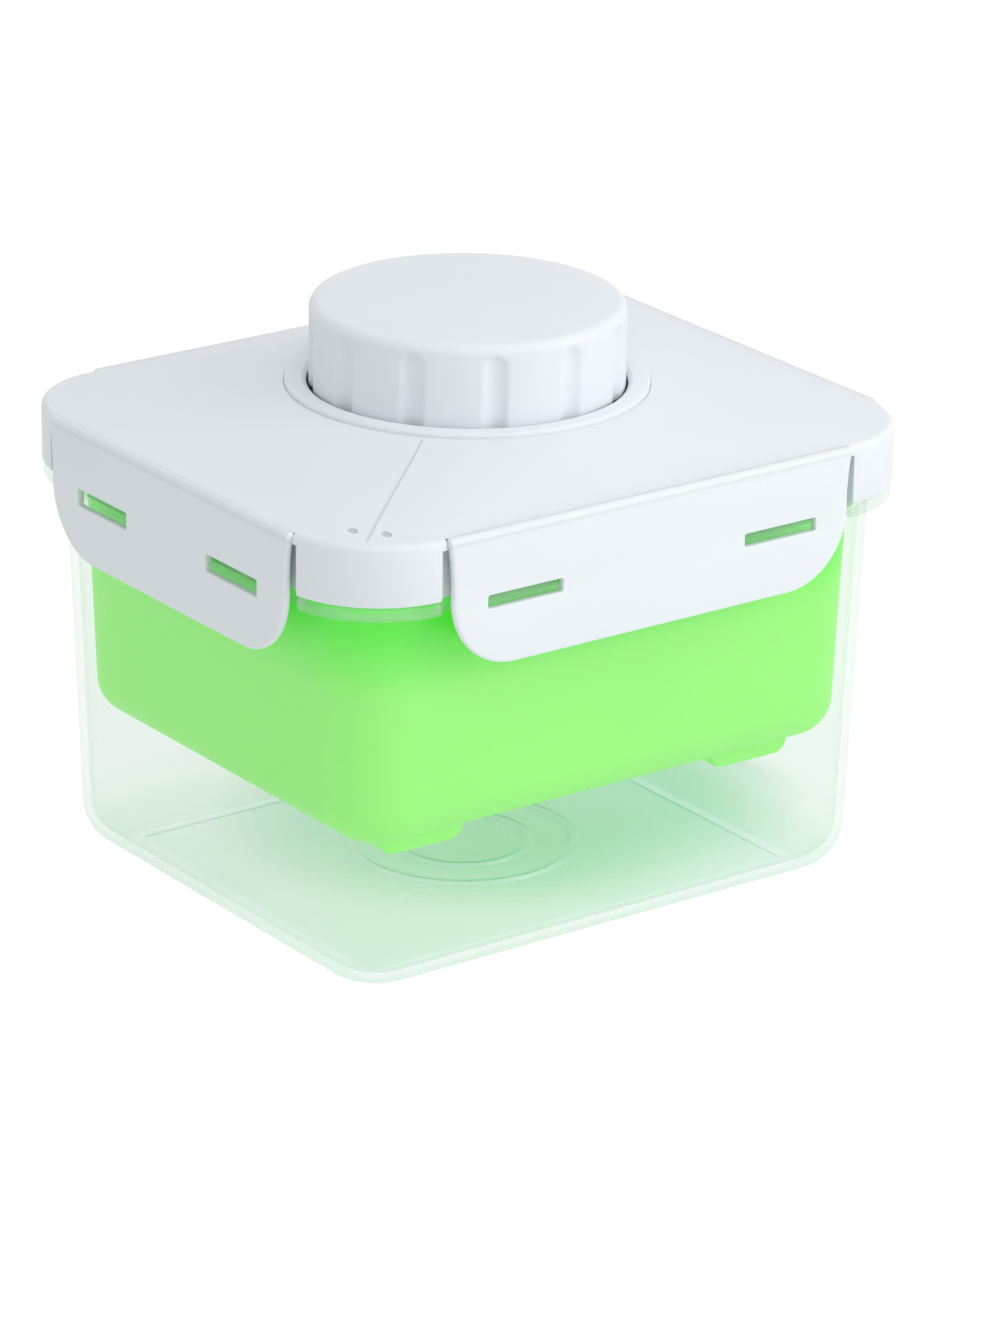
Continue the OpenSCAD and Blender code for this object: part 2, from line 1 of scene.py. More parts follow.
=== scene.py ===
"""The looks of a tofu press: a frosted box with a green drain basket hanging in it, and a white lid with
four locking flaps and a grooved knob.

Shapes are worked out in millimetres, as whole numpy arrays, and go into their meshes in metres. Most pieces
follow the lid's outline, a rounded rectangle: a section gives (inset, height) pairs, where inset is how far
the surface lies in from that outline.
"""

import json
import math

import bmesh
import bpy
import numpy as np
from mathutils import Matrix, Vector
from mathutils.geometry import delaunay_2d_cdt


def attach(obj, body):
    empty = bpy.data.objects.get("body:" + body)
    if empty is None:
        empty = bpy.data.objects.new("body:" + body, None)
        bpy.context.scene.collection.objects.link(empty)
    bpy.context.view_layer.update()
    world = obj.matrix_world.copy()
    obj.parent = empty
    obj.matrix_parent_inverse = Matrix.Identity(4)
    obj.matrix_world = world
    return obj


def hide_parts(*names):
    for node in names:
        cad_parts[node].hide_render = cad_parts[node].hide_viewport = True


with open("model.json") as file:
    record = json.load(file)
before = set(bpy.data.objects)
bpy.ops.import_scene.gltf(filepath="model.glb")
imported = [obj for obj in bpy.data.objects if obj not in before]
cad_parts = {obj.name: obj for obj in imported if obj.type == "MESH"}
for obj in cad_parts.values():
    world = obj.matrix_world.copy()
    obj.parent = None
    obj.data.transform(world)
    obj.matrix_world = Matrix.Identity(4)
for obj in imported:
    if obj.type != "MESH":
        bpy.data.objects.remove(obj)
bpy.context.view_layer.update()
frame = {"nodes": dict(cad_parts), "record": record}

# ---------------------------------------------------------------- sizes, in millimetres
LID_W, LID_D, CORNER_R = 165.0, 143.0, 24.5

# box, whose walls lean outward by LEAN for each millimetre of height
BOX_H, LEAN = 102.0, math.tan(math.radians(1.9))
BOX_WALL, BOX_FLOOR, BOX_INSET, BOX_BOTTOM_R, BOX_RIM_R = 2.0, 2.5, 5.2, 11.0, 0.6
FOOT_RECESS, FOOT_RING = 0.8, 4.0
FLANGE_LOW, FLANGE_TOP, FLANGE_CORNER_INSET, FLANGE_R, FLANGE_FILLET = 93.4, 96.4, 0.4, 0.5, 0.4
# radii of the floor's low rings, and (outward, upward) steps across one of them
FLOOR_RINGS = (27, 16)
RING_SECTION = ((1.1, 0), (0.7, 0.8), (0.4, 0.9), (-0.4, 0.9), (-0.7, 0.8), (-1.1, 0))

# basket, its drain slots and its runners
BASKET_Z, BASKET_FLOOR, BASKET_WALL, BASKET_INSET, BASKET_BOTTOM_R = 33.4, 2.2, 1.8, 10.0, 9.0
RIM_Z, RIM_T, RIM_OVERHANG, RIM_R, RIM_IN_R, RIM_FILLET = 103.8, 1.7, 0.2, 0.5, 0.6, 0.8
DRAIN_L, DRAIN_W, DRAIN_PITCH_X, DRAIN_PITCH_Y, DRAIN_MARGIN = 15.0, 2.6, 19.0, 9.6, 4
# distances from the flat floor's edges within which a slot would run into a rounded corner
DRAIN_CORNER_X, DRAIN_CORNER_Y = 32, 8
RUNNER_H, RUNNER_L, RUNNER_W, RUNNER_IN, RUNNER_EDGE, RUNNER_SUNK = 4.6, 22.6, 6.0, 3.0, 0.9, 1.2

# lid
EDGE_Z, EDGE_R, SKIRT_Z, SKIRT_R = 111.3, 1.6, 96.7, 0.8
ROOF_Z, ROOF_T, ROOF_FLAT, COLLAR_Z, HOUSING_PLAY = 117.9, 3, 2.5, 119.0, 0.1
SIDE_INSET, SIDE_WALL, CORNER_WALL = 2.5, 1.7, 2.0
CHANNEL_INSET, CHANNEL_Z, CHANNEL_TOP, CHANNEL_WALL, LID_CHAMFER = 10.0, 104.5, EDGE_Z - 2, 1.4, 0.3
LID_RIB_T, LID_RIB_START, LID_RIB_END, LID_RIB_CORNER_END = 1.6, 4.4, 0.7, 5.2

# flaps, their hinges and their latch slots
FLAP_T, FLAP_H, FLAP_R, FLAP_EDGE, FLAP_FLARE, FLARE_H, FLARE_MID = 1.9, 32.0, 17.0, 0.85, 1.0, 9.0, 0.35
FLAP_STAND, FLAP_GAP, HINGE_R, HINGE_PLAY = 1.2, 2.4, 1.3, 0.03
HINGE_Z, HINGE_IN = EDGE_Z - HINGE_R, HINGE_R - FLAP_STAND
SLOT_L, SLOT_DROP, SLOT_CORNER_R, SLOT_EDGE = 20.5, 16.6, 0.4, 0.3
# half length of a flap, height of its slots, and their distance from its middle: long flaps, short flaps
HALF, SLOT_H = (LID_W / 2 - 27.0, LID_D / 2 - 23.5), (3.2, 4.2)
SLOT_X = (HALF[0] - 19.6, HALF[1] - 21.4)

# the box's lugs, which stand in the slots
LUG_TIP, LUG_NOSE, LUG_H, LUG_SLOPE, LUG_BEVEL, LUG_SUNK = 0.65, 0.3, 2.2, 1.2, 0.8, 0.6
LUG_END_PLAY, SLIP = 1.3, 0.3

# knob and the housing that it sinks into
WELL_R, WELL_WALL, WELL_LIP, COLLAR_W, COLLAR_T = 38.5, 2.0, 1.15, 4.0, 0.9
HOUSING_LOW, HOUSING_FLOOR, NUT_HOLE_R = 95.6, 97.8, 27.3
KNOB_R, KNOB_LOW, KNOB_TOP, KNOB_EDGE, KNOB_DOME, KNOB_WALL = 36.8, 117.0, 137.9, 2.4, 0.9, 2.2
KNOB_RING_IN, KNOB_RING_OUT, KNOB_RING_H = 29.1, 31, 2.4
GROOVES, GROOVE_DEPTH, GROOVE_R, GROOVE_PHASE, GROOVE_SOFT = 12, 1.2, 4.4, 4.2, 0.35

# press plate: deck, upstand, hub and post for the swivel, cup round them, drain holes and ribs
PLATE_Z, PLATE_T, PLATE_INSET = 79.6, 3.0, 14.14
UPSTAND_H, UPSTAND_T = 4.0, 2
HUB_R, HUB_TOP, POST_R, POST_TOP, POST_HOLE_R, POST_HOLE_LOW = 16, 84.6, 6, 89, 2.1, 82
CUP_R, CUP_IN, CUP_H = 25.1, 22.9, 8
HOLE_R, HOLE_PITCH, HOLE_MARGIN, HOLE_CLEAR, HOLE_CUP_CLEAR = 2.2, 11, 8, 3.6, 3.2
PLATE_RIB_T, PLATE_RIB_H, PLATE_RIB_END = 2.0, 7, 1.2

# lid's corner marks: where its diagonal line starts and ends and how far each end and its sides fade, and
# the middles, radius and fade of the two dimples
LINE_START, LINE_END, LINE_HALF_W = 44.5, 97.0, 0.25
LINE_START_FADE, LINE_END_FADE, LINE_SIDE_FADE = 0.5, 1.5, 0.3
DIMPLES, DIMPLE_R, DIMPLE_FADE = ((-71.8, -57.0), (-66.8, -62.8)), 0.8, 0.4
# the marks fade in over MARK_FADE above MARK_Z, so that only the lid's top has them
MARK_Z, MARK_FADE = 110.0, 0.5

# how finely round parts are divided; a station keeps STATION_GAP away from a cut
STATION_STEP, STATION_TURNS, STATION_GAP = 3.0, 14, 0.05
CORNER_STEPS, BOTTOM_STEPS, EDGE_STEPS, ROLL_SIDES, GROOVE_SIDES = 4, 12, 8, 48, 40
CORNER_POINTS = CORNER_STEPS + 1
SHARP_ANGLE = 32


# ---------------------------------------------------------------- shapes
class Outline:
    """A walk round the lid's outline, anticlockwise seen from above.

    Each station has a foot on the rectangle through the four corner centres and an outward normal; the
    outline drawn in by an inset is foot + (corner radius - inset) * normal. cuts are distances past a
    flap's end, in rising order: a station stands on each side of every cut, and level counts the cuts
    between a station and the middle of its flap.
    """

    def __init__(self, cuts=()):
        cx, cy = LID_W / 2 - CORNER_R, LID_D / 2 - CORNER_R
        bend = CORNER_R * math.pi / 2
        total = cx + bend + cy
        along = np.concatenate([np.arange(0, cx, STATION_STEP),
                                cx + bend * np.linspace(0, 1, STATION_TURNS + 1),
                                total - np.arange(0, cy, STATION_STEP)[::-1]])

        def reach(straight, x):
            """How far along the outline x lies: past the straight part by radius * asin(rest / radius)."""
            past = max(x - straight, 0)
            return min(x, straight) + CORNER_R * math.asin(past / CORNER_R)

        first = [reach(cx, HALF[0] + c) for c in cuts]
        last = [total - reach(cy, HALF[1] + c) for c in cuts][::-1]
        marks = [0, *first, *last, total]
        levels = [*range(len(cuts) + 1), *range(len(cuts))[::-1]] if cuts else [0]
        runs = [np.concatenate([[a], along[(along > a + STATION_GAP) & (along < b - STATION_GAP)], [b]])
                for a, b in zip(marks, marks[1:])]

        # a quarter, from the middle of the front to the middle of the right side
        s = np.concatenate(runs)
        turn = np.clip((s - cx) / CORNER_R, 0, math.pi / 2)
        foot = np.column_stack([np.minimum(s, cx), np.maximum(s - cx - bend, 0) - cy])
        normal = np.column_stack([np.sin(turn), -np.cos(turn)])
        level = np.repeat(levels, [len(r) for r in runs])

        # mirrored to the back, and then the right half turned to the left
        mirror = np.array([1, -1])
        foot = np.concatenate([foot, (foot * mirror)[-2:0:-1], [[0, cy]]])
        normal = np.concatenate([normal, (normal * mirror)[-2:0:-1], [[0, 1]]])
        level = np.concatenate([level, level[-2:0:-1], [0]])
        self.foot = np.concatenate([foot, -foot[1:-1]])
        self.normal = np.concatenate([normal, -normal[1:-1]])
        self.level = np.concatenate([level, level[1:-1]])

    def ring(self, inset, z):
        """The outline drawn in by inset at height z; either may list one value for each level."""
        inset, z = (np.broadcast_to(np.asarray(v, float)[self.level] if np.ndim(v) else v, len(self.level))
                    for v in (inset, z))
        return np.column_stack([self.foot + self.normal * (CORNER_R - inset)[:, None], z])

    def circle(self, r, z):
        """A circle about the axis whose points lie in the directions of the outline's normals."""
        return np.column_stack([self.normal * r, np.full(len(self.level), float(z))])

    def sweep(self, *sections):
        """Rings through one section for the whole outline, or through sections of equal length, one for
        each level."""
        if len(sections) == 1:
            return [self.ring(inset, z) for inset, z in sections[0]]
        return [self.ring(row[:, 0], row[:, 1]) for row in np.stack(sections, 1)]


def skin(rings, closed=False, ends=(True, True)):
    """Quads through rings of equal length, each joined to the next. closed joins the last ring to the first;
    otherwise ends puts a flat face on the first and the last."""
    rings = np.asarray(rings)
    grid = np.arange(rings.shape[0] * rings.shape[1]).reshape(rings.shape[:2])
    low = grid if closed else grid[:-1]
    high = np.roll(grid, -1, 0) if closed else grid[1:]
    quads = np.stack([low, np.roll(low, -1, 1), np.roll(high, -1, 1), high], -1).reshape(-1, 4)
    faces = quads.tolist()
    if not closed and ends[0]:
        faces.append(grid[0][::-1].tolist())
    if not closed and ends[1]:
        faces.append(grid[-1].tolist())
    return rings.reshape(-1, 3), faces


def joined(*shapes):
    """Several (points, faces) shapes as one."""
    starts = np.cumsum([0] + [len(p) for p, _ in shapes])
    return (np.concatenate([p for p, _ in shapes]),
            [[i + s for i in f] for (_, faces), s in zip(shapes, starts) for f in faces])


def arc(cu, cv, r, start, end, n):
    """n + 1 points on a circle about (cu, cv), from one angle to another in degrees."""
    a = np.radians(np.linspace(start, end, n + 1))
    return np.column_stack([cu + r * np.cos(a), cv + r * np.sin(a)])


def directions(loop):
    """Unit vectors from each point of a closed loop back to the one before it, and ahead to the next."""
    back, ahead = np.roll(loop, 1, 0) - loop, np.roll(loop, -1, 0) - loop
    return (v / np.linalg.norm(v, axis=1, keepdims=True) for v in (back, ahead))


def rounded(corners, steps=CORNER_STEPS):
    """A polygon of (u, v, radius) corners, each replaced by an arc tangent to both of its sides: the arc
    starts radius * tan(half the turn) before the corner, and its middle lies on the corner's bisector."""
    corners = np.array(corners, float)
    p, r = corners[:, :2], corners[:, 2:]
    back, ahead = directions(p)
    half = np.arccos(np.clip((back * ahead).sum(1), -1, 1))[:, None] / 2
    inward, across = back + ahead, back - ahead
    inward /= np.maximum(np.linalg.norm(inward, axis=1, keepdims=True), 1e-9)
    across = across / np.maximum(np.linalg.norm(across, axis=1, keepdims=True), 1e-9)
    centre = p + inward * r / np.maximum(np.sin(half), 1e-6)
    # from half the turn on one side of the bisector to half the turn on the other
    angle = (math.pi / 2 - half)[:, None] * (1 - 2 * np.linspace(0, 1, steps + 1)[None, :, None])
    outward = across[:, None] * np.sin(angle) - inward[:, None] * np.cos(angle)
    return (centre[:, None] + r[:, None] * outward).reshape(-1, 2)


def rounded_run(corners):
    """The rounded corners of an open run, whose first and last corner only give its direction."""
    return rounded(corners)[CORNER_POINTS:-CORNER_POINTS]


def lathe(section, n, closed=True):
    """A (radius, height) section turned about the axis; its outer side runs upwards. One that starts and
    ends on the axis isn't closed."""
    a = np.linspace(0, 2 * math.pi, n, endpoint=False)
    unit = np.column_stack([np.cos(a), np.sin(a)])
    rings = [np.column_stack([unit * r, np.full(n, z)]) for r, z in section]
    return skin(rings, closed, (False, False))


def drawn_in(loop, e):
    """A loop moved into the material on its left by e: each corner along its bisector, e over the cosine of
    half its turn, which counts as at least a quarter."""
    back, ahead = directions(loop)
    along = ahead - back
    left = np.column_stack([-along[:, 1], along[:, 0]])
    length = np.linalg.norm(left, axis=1, keepdims=True)
    return loop + 2 * e * left / np.maximum(length, 0.5) ** 2


def fill(loops):
    """Triangles between an outer loop and the loops of its holes, as rows of the loops' points placed one
    after another: a constrained Delaunay mesh, less the triangles whose centre sees an even number of loop
    edges to its right."""
    points = np.concatenate(loops)
    starts = np.cumsum([0] + [len(loop) for loop in loops])
    edges = np.concatenate([np.column_stack([np.arange(a, b), np.roll(np.arange(a, b), -1)])
                            for a, b in zip(starts, starts[1:])])
    _, _, tris, origin, _, _ = delaunay_2d_cdt([Vector(p) for p in points.tolist()], edges.tolist(),
                                               [], 0, 1e-7)
    back = np.array([o[0] if o else -1 for o in origin])
    tris = back[np.array(tris)]
    centre = points[tris].mean(1)
    a, b = points[edges[:, 0]], points[edges[:, 1]]
    spans = (a[:, 1] > centre[:, 1:]) != (b[:, 1] > centre[:, 1:])
    rise = np.where(b[:, 1] == a[:, 1], 1, b[:, 1] - a[:, 1])
    cross = a[:, 0] + (centre[:, 1:] - a[:, 1]) * (b[:, 0] - a[:, 0]) / rise
    tris = tris[(spans & (cross > centre[:, :1])).sum(1) % 2 == 1]
    corner = points[tris]
    side, other = corner[:, 1] - corner[:, 0], corner[:, 2] - corner[:, 0]
    clockwise = side[:, 0] * other[:, 1] - side[:, 1] * other[:, 0] < 0
    tris[clockwise] = tris[clockwise][:, ::-1]
    return tris


def plate(loops, thickness, edge, steps=3, hole_edge=None):
    """A flat plate in (u, v, w): loops[0] is its outline, anticlockwise, and the rest are its holes,
    clockwise. Every rim is rounded by edge, or hole_edge, front and back; w runs from 0 to thickness."""
    a = np.linspace(0, math.pi / 2, steps + 1)
    edges = [edge] + [hole_edge or edge] * (len(loops) - 1)
    rims, low, high, base = [], [], [], 0
    for loop, e in zip(loops, edges):
        inward, depth = e * (1 - np.sin(a)), e * (1 - np.cos(a))
        rows = [*zip(inward, depth), *zip(inward[::-1], (thickness - depth)[::-1])]
        rings = [np.column_stack([drawn_in(loop, i), np.full(len(loop), w)]) for i, w in rows]
        rims.append(skin(rings, ends=(False, False)))
        low.append(np.arange(base, base + len(loop)))
        high.append(low[-1] + (len(rows) - 1) * len(loop))
        base += len(rows) * len(loop)
    points, faces = joined(*rims)
    low, high = np.concatenate(low), np.concatenate(high)
    tris = fill([drawn_in(loop, e) for loop, e in zip(loops, edges)])
    return points, faces + high[tris].tolist() + low[tris[:, ::-1]].tolist()


def slot_loop(cx, cy, length, width):
    """A slot with round ends, clockwise, as a hole."""
    x = (length - width) / 2
    right = arc(cx + x, cy, width / 2, 90, -90, EDGE_STEPS)
    left = arc(cx - x, cy, width / 2, 270, 90, EDGE_STEPS)
    return np.concatenate([right, left])


def upright(shape, y, z=0):
    """A flat plate stood up: u runs along x, v upwards from height z, and w back from y."""
    points, faces = shape
    return np.column_stack([points[:, 0], y - points[:, 2], points[:, 1] + z]), faces


def moved(shape, turn=0.0, shift=(0, 0, 0)):
    """A shape shifted, then turned about the axis by an angle in degrees."""
    points, faces = shape
    c, s = math.cos(math.radians(turn)), math.sin(math.radians(turn))
    return (points + shift) @ np.array([[c, s, 0], [-s, c, 0], [0, 0, 1]]), faces


def on_side(shape, k):
    """Puts a shape made for the front side, y into the press from the lid's outline, on side k."""
    return moved(shape, 90 * k, (0, -(LID_D, LID_W)[k % 2] / 2, 0))


def spokes(w, d):
    """Directions, in degrees, from the middle of a w by d rectangle to its sides and corners."""
    diagonal = math.degrees(math.atan2(d, w))
    return 0, diagonal, 90, 180 - diagonal, 180, 180 + diagonal, 270, 360 - diagonal


def tub_inset(inset, z):
    """Inset of a wall that leans outward and has this inset at the box's rim."""
    return inset + (BOX_H - z) * LEAN


def tub_bottom(inset, z, r):
    """Section of a tub's rounded bottom, from its flat floor up to its wall."""
    a = np.linspace(0, math.pi / 2, BOTTOM_STEPS + 1)
    return np.column_stack([tub_inset(inset, z) + r * (1 - np.sin(a)), z + r * (1 - np.cos(a))])


def container_shape():
    """One closed skin: recess, foot ring, rounded bottom, wall, flange, rim, inside wall, floor and its low
    rings. The flange stands out further at the corners than beside the flaps. Eight lugs with a sloping
    underside are let into the walls behind the flaps' slots."""
    outline, inner = Outline(cuts=(FLAP_GAP,)), BOX_INSET + BOX_WALL
    ring = tub_inset(BOX_INSET, 0) + BOX_BOTTOM_R + FOOT_RING
    under = [(ring, FOOT_RECESS), (ring - 0.25, 0.15), (ring - 0.5, 0)]
    bottom = tub_bottom(BOX_INSET, 0, BOX_BOTTOM_R)
    wall_low, wall_top = tub_inset(BOX_INSET, FLANGE_LOW), tub_inset(BOX_INSET, FLANGE_TOP)
    rim = rounded_run([(BOX_INSET, BOX_H - 6, 0), (BOX_INSET, BOX_H, BOX_RIM_R), (inner, BOX_H, BOX_RIM_R),
                       (inner, BOX_H - 6, 0)])
    inside = tub_bottom(inner, BOX_FLOOR, BOX_BOTTOM_R - BOX_WALL)[::-1]

    def shell(flange_inset):
        """The section with a flange that reaches out to this inset."""
        # the last corner only closes the flange behind the wall, and is left out of the section
        flange = rounded([(wall_low, FLANGE_LOW, FLANGE_FILLET), (flange_inset, FLANGE_LOW, FLANGE_R),
                          (flange_inset, FLANGE_TOP, FLANGE_R), (wall_top, FLANGE_TOP, FLANGE_FILLET),
                          (wall_top + 9, FLANGE_TOP - 1.5, 0)])[:-CORNER_POINTS]
        return np.concatenate([under, bottom, flange, rim, inside])

    rings = outline.sweep(shell(SIDE_INSET), shell(FLANGE_CORNER_INSET))
    rings += [outline.circle(r + out, BOX_FLOOR + up) for r in FLOOR_RINGS for out, up in RING_SECTION]

    tip, root, length = LUG_TIP - FLAP_STAND, BOX_INSET + LUG_SUNK, SLOT_L - LUG_END_PLAY
    section = np.array([(tip, LUG_NOSE), (root, -LUG_SLOPE), (root, LUG_H), (tip + LUG_BEVEL, LUG_H),
                        (tip, LUG_H - LUG_BEVEL)])
    points, faces = plate([section], length, 0.3)
    lug = np.column_stack([points[:, 2] - length / 2, points[:, 0], points[:, 1] + EDGE_Z - SLOT_DROP + SLIP])
    lugs = [on_side(moved((lug, faces), 0, (s * SLOT_X[k % 2], 0, -SLOT_H[k % 2] / 2)), k)
            for k in range(4) for s in (-1, 1)]
    return joined(skin(rings), *lugs)


def basket_shape():
    """One closed skin round a floor with drain slots, and four short runners under it. The floor's two faces
    are filled between the bottom's last ring and the slots."""
    outline, inner = Outline(), BASKET_INSET + BASKET_WALL
    floor_top, rim_low, hook = BASKET_Z + BASKET_FLOOR, RIM_Z - RIM_T, BOX_INSET - RIM_OVERHANG
    outer_bottom = tub_bottom(BASKET_INSET, BASKET_Z, BASKET_BOTTOM_R)
    inner_bottom = tub_bottom(inner, floor_top, BASKET_BOTTOM_R - BASKET_WALL)
    wall, inside = tub_inset(BASKET_INSET, rim_low), tub_inset(inner, RIM_Z)
    rim = rounded_run([(wall, RIM_Z - 9, 0), (wall, rim_low, RIM_FILLET), (hook, rim_low, RIM_R),
                       (hook, RIM_Z, RIM_R), (inside, RIM_Z, RIM_IN_R), (inside, RIM_Z - 9, 0)])
    rings = outline.sweep(np.concatenate([outer_bottom, rim, inner_bottom[::-1]]))

    flat = tub_inset(BASKET_INSET, BASKET_Z) + BASKET_BOTTOM_R
    half_w, half_d = LID_W / 2 - flat, LID_D / 2 - flat
    columns = int((2 * half_w - DRAIN_MARGIN) // DRAIN_PITCH_X)
    rows = int((2 * half_d - DRAIN_MARGIN) // DRAIN_PITCH_Y)
    at = [((i - (columns - 1) / 2) * DRAIN_PITCH_X, (j - (rows - 1) / 2) * DRAIN_PITCH_Y)
          for i in range(columns) for j in range(rows)]
    slots = [slot_loop(x, y, DRAIN_L, DRAIN_W) for x, y in at
             if abs(y) < half_d - DRAIN_CORNER_Y or abs(x) < half_w - DRAIN_CORNER_X]

    count, size = len(outline.level), len(slots[0])
    shapes = [skin(rings, ends=(False, False))]
    low, high = [np.arange(count)], [np.arange(count) + (len(rings) - 1) * count]
    base = len(rings) * count
    for slot in slots:
        walls = [np.column_stack([slot, np.full(size, z)]) for z in (BASKET_Z, floor_top)]
        shapes.append(skin(walls, ends=(False, False)))
        low.append(base + np.arange(size))
        high.append(base + size + np.arange(size))
        base += 2 * size
    points, faces = joined(*shapes)
    faces += np.concatenate(low)[fill([rings[0][:, :2], *slots])[:, ::-1]].tolist()
    faces += np.concatenate(high)[fill([rings[-1][:, :2], *slots])].tolist()

    r, half = RUNNER_H - 1, RUNNER_L / 2
    section = np.concatenate([[(-half, RUNNER_SUNK)], arc(r - half, -1, r, 180, 270, 10),
                              arc(half - r, -1, r, 270, 360, 10), [(half, RUNNER_SUNK)]])
    runner = upright(plate([section], RUNNER_W, RUNNER_EDGE, 4), RUNNER_W / 2, BASKET_Z)
    x, y = half_w - RUNNER_IN - half, half_d - RUNNER_W / 2
    runners = [moved(runner, 0, (sx * x, sy * y, 0)) for sx in (-1, 1) for sy in (-1, 1)]
    return joined((points, faces), *runners)


def lid_shape():
    """One closed skin: skirt, rounded edge, roof up to the collar, opening, underside, channel and back to
    the skirt, with eight ribs under the roof. The roof runs straight from each point of the edge to the
    point of the opening with the same normal. Levels: the hinge groove, the gap at a flap's end, the wall
    beside it, the corner."""
    outline = Outline(cuts=(FLAP_FLARE + 0.15, FLAP_GAP, FLAP_GAP + 2.0))
    under_roll = HINGE_Z - HINGE_R
    edge = arc(EDGE_R, EDGE_Z - EDGE_R, EDGE_R, 180, 90, EDGE_STEPS)
    low_corner = [(SKIRT_R, SKIRT_Z), (0.3 * SKIRT_R, SKIRT_Z + 0.3 * SKIRT_R), (0, SKIRT_Z + SKIRT_R),
                  (0, under_roll), (0, under_roll)]
    low_flap = [(SIDE_INSET + LID_CHAMFER, SKIRT_Z), (SIDE_INSET, SKIRT_Z + LID_CHAMFER),
                (SIDE_INSET, SKIRT_Z + 0.5), (SIDE_INSET, under_roll)]
    groove = arc(HINGE_IN, HINGE_Z, HINGE_R + HINGE_PLAY, -64, 78, EDGE_STEPS)
    beside_roll = np.concatenate([low_flap, [(0.8, under_roll)], groove])
    beside_gap = np.concatenate([low_flap, [(0, under_roll)], edge])
    corner = np.concatenate([low_corner, edge])
    outside = outline.sweep(beside_roll, beside_gap, corner, corner)

    mouth = WELL_R + COLLAR_W
    foot, top = outline.ring(EDGE_R, EDGE_Z), outline.circle(mouth + ROOF_FLAT, ROOF_Z)
    roof = [foot + (top - foot) * t for t in np.linspace(0, 1, 9)]
    bore, seat = mouth + HOUSING_PLAY, WELL_R + WELL_WALL + HOUSING_PLAY
    ledge, ceiling = ROOF_Z - 1, ROOF_Z - ROOF_T
    opening = [outline.circle(r, z) for r, z in
               ((bore + 0.25, ROOF_Z), (bore, ROOF_Z - 0.25), (bore, ledge), (seat, ledge),
                (seat, ceiling), (mouth, ceiling))]
    behind = CHANNEL_INSET + CHANNEL_WALL
    low, high = outline.ring(behind, EDGE_Z - 1.4), outline.circle(mouth, ceiling)
    hollow = [high + (low - high) * t for t in np.linspace(0, 1, 5)[1:]]
    wall = [SIDE_INSET + SIDE_WALL] * 3 + [CORNER_WALL]
    under = [outline.ring(i, z) for i, z in
             ((behind, CHANNEL_Z + LID_CHAMFER), (behind - LID_CHAMFER, CHANNEL_Z),
              (CHANNEL_INSET + LID_CHAMFER, CHANNEL_Z), (CHANNEL_INSET, CHANNEL_Z + LID_CHAMFER),
              (CHANNEL_INSET, CHANNEL_TOP), (wall, CHANNEL_TOP), (wall, SKIRT_Z + LID_CHAMFER),
              ([w - LID_CHAMFER for w in wall], SKIRT_Z))]
    body = skin(outside + roof + opening + hollow + under, closed=True)

    ribs, start = [], WELL_R + WELL_WALL + LID_RIB_START
    box_w, box_d = LID_W / 2 - CHANNEL_INSET - LID_RIB_END, LID_D / 2 - CHANNEL_INSET - LID_RIB_END
    for angle in spokes(LID_W - 2 * CHANNEL_INSET, LID_D - 2 * CHANNEL_INSET):
        c, s = abs(math.cos(math.radians(angle))), abs(math.sin(math.radians(angle)))
        end = min(box_w / max(c, 1e-6), box_d / max(s, 1e-6))
        if min(c, s) > 0.1:
            end -= LID_RIB_CORNER_END
        # the rib's top edge lies inside the roof
        section = np.array([(start, CHANNEL_Z + 2), (end, CHANNEL_Z + 2), (end, EDGE_Z - 1),
                            (start, ROOF_Z - 2.6)])
        ribs.append(moved(upright(plate([section], LID_RIB_T, 0.15, 1), LID_RIB_T / 2), angle))
    return joined(body, *ribs)


def gasket_shape():
    """A closed section with two lips, swept round under the lid's edge."""
    low, top, mid, lip = RIM_Z + 0.3, EDGE_Z - 2.1, RIM_Z + 2.6, 1.4
    outer, inner = SIDE_INSET + SIDE_WALL + 0.3, CHANNEL_INSET - 0.2
    section = rounded([(outer, low, 0.5), (outer, top, 0.6), (inner, top, 0.6), (inner, low, 0.5),
                       (inner - lip, low, 0.5), (inner - lip, mid, 0.8), (outer + lip, mid, 0.8),
                       (outer + lip, low, 0.5)])
    return skin(Outline().sweep(section), closed=True)


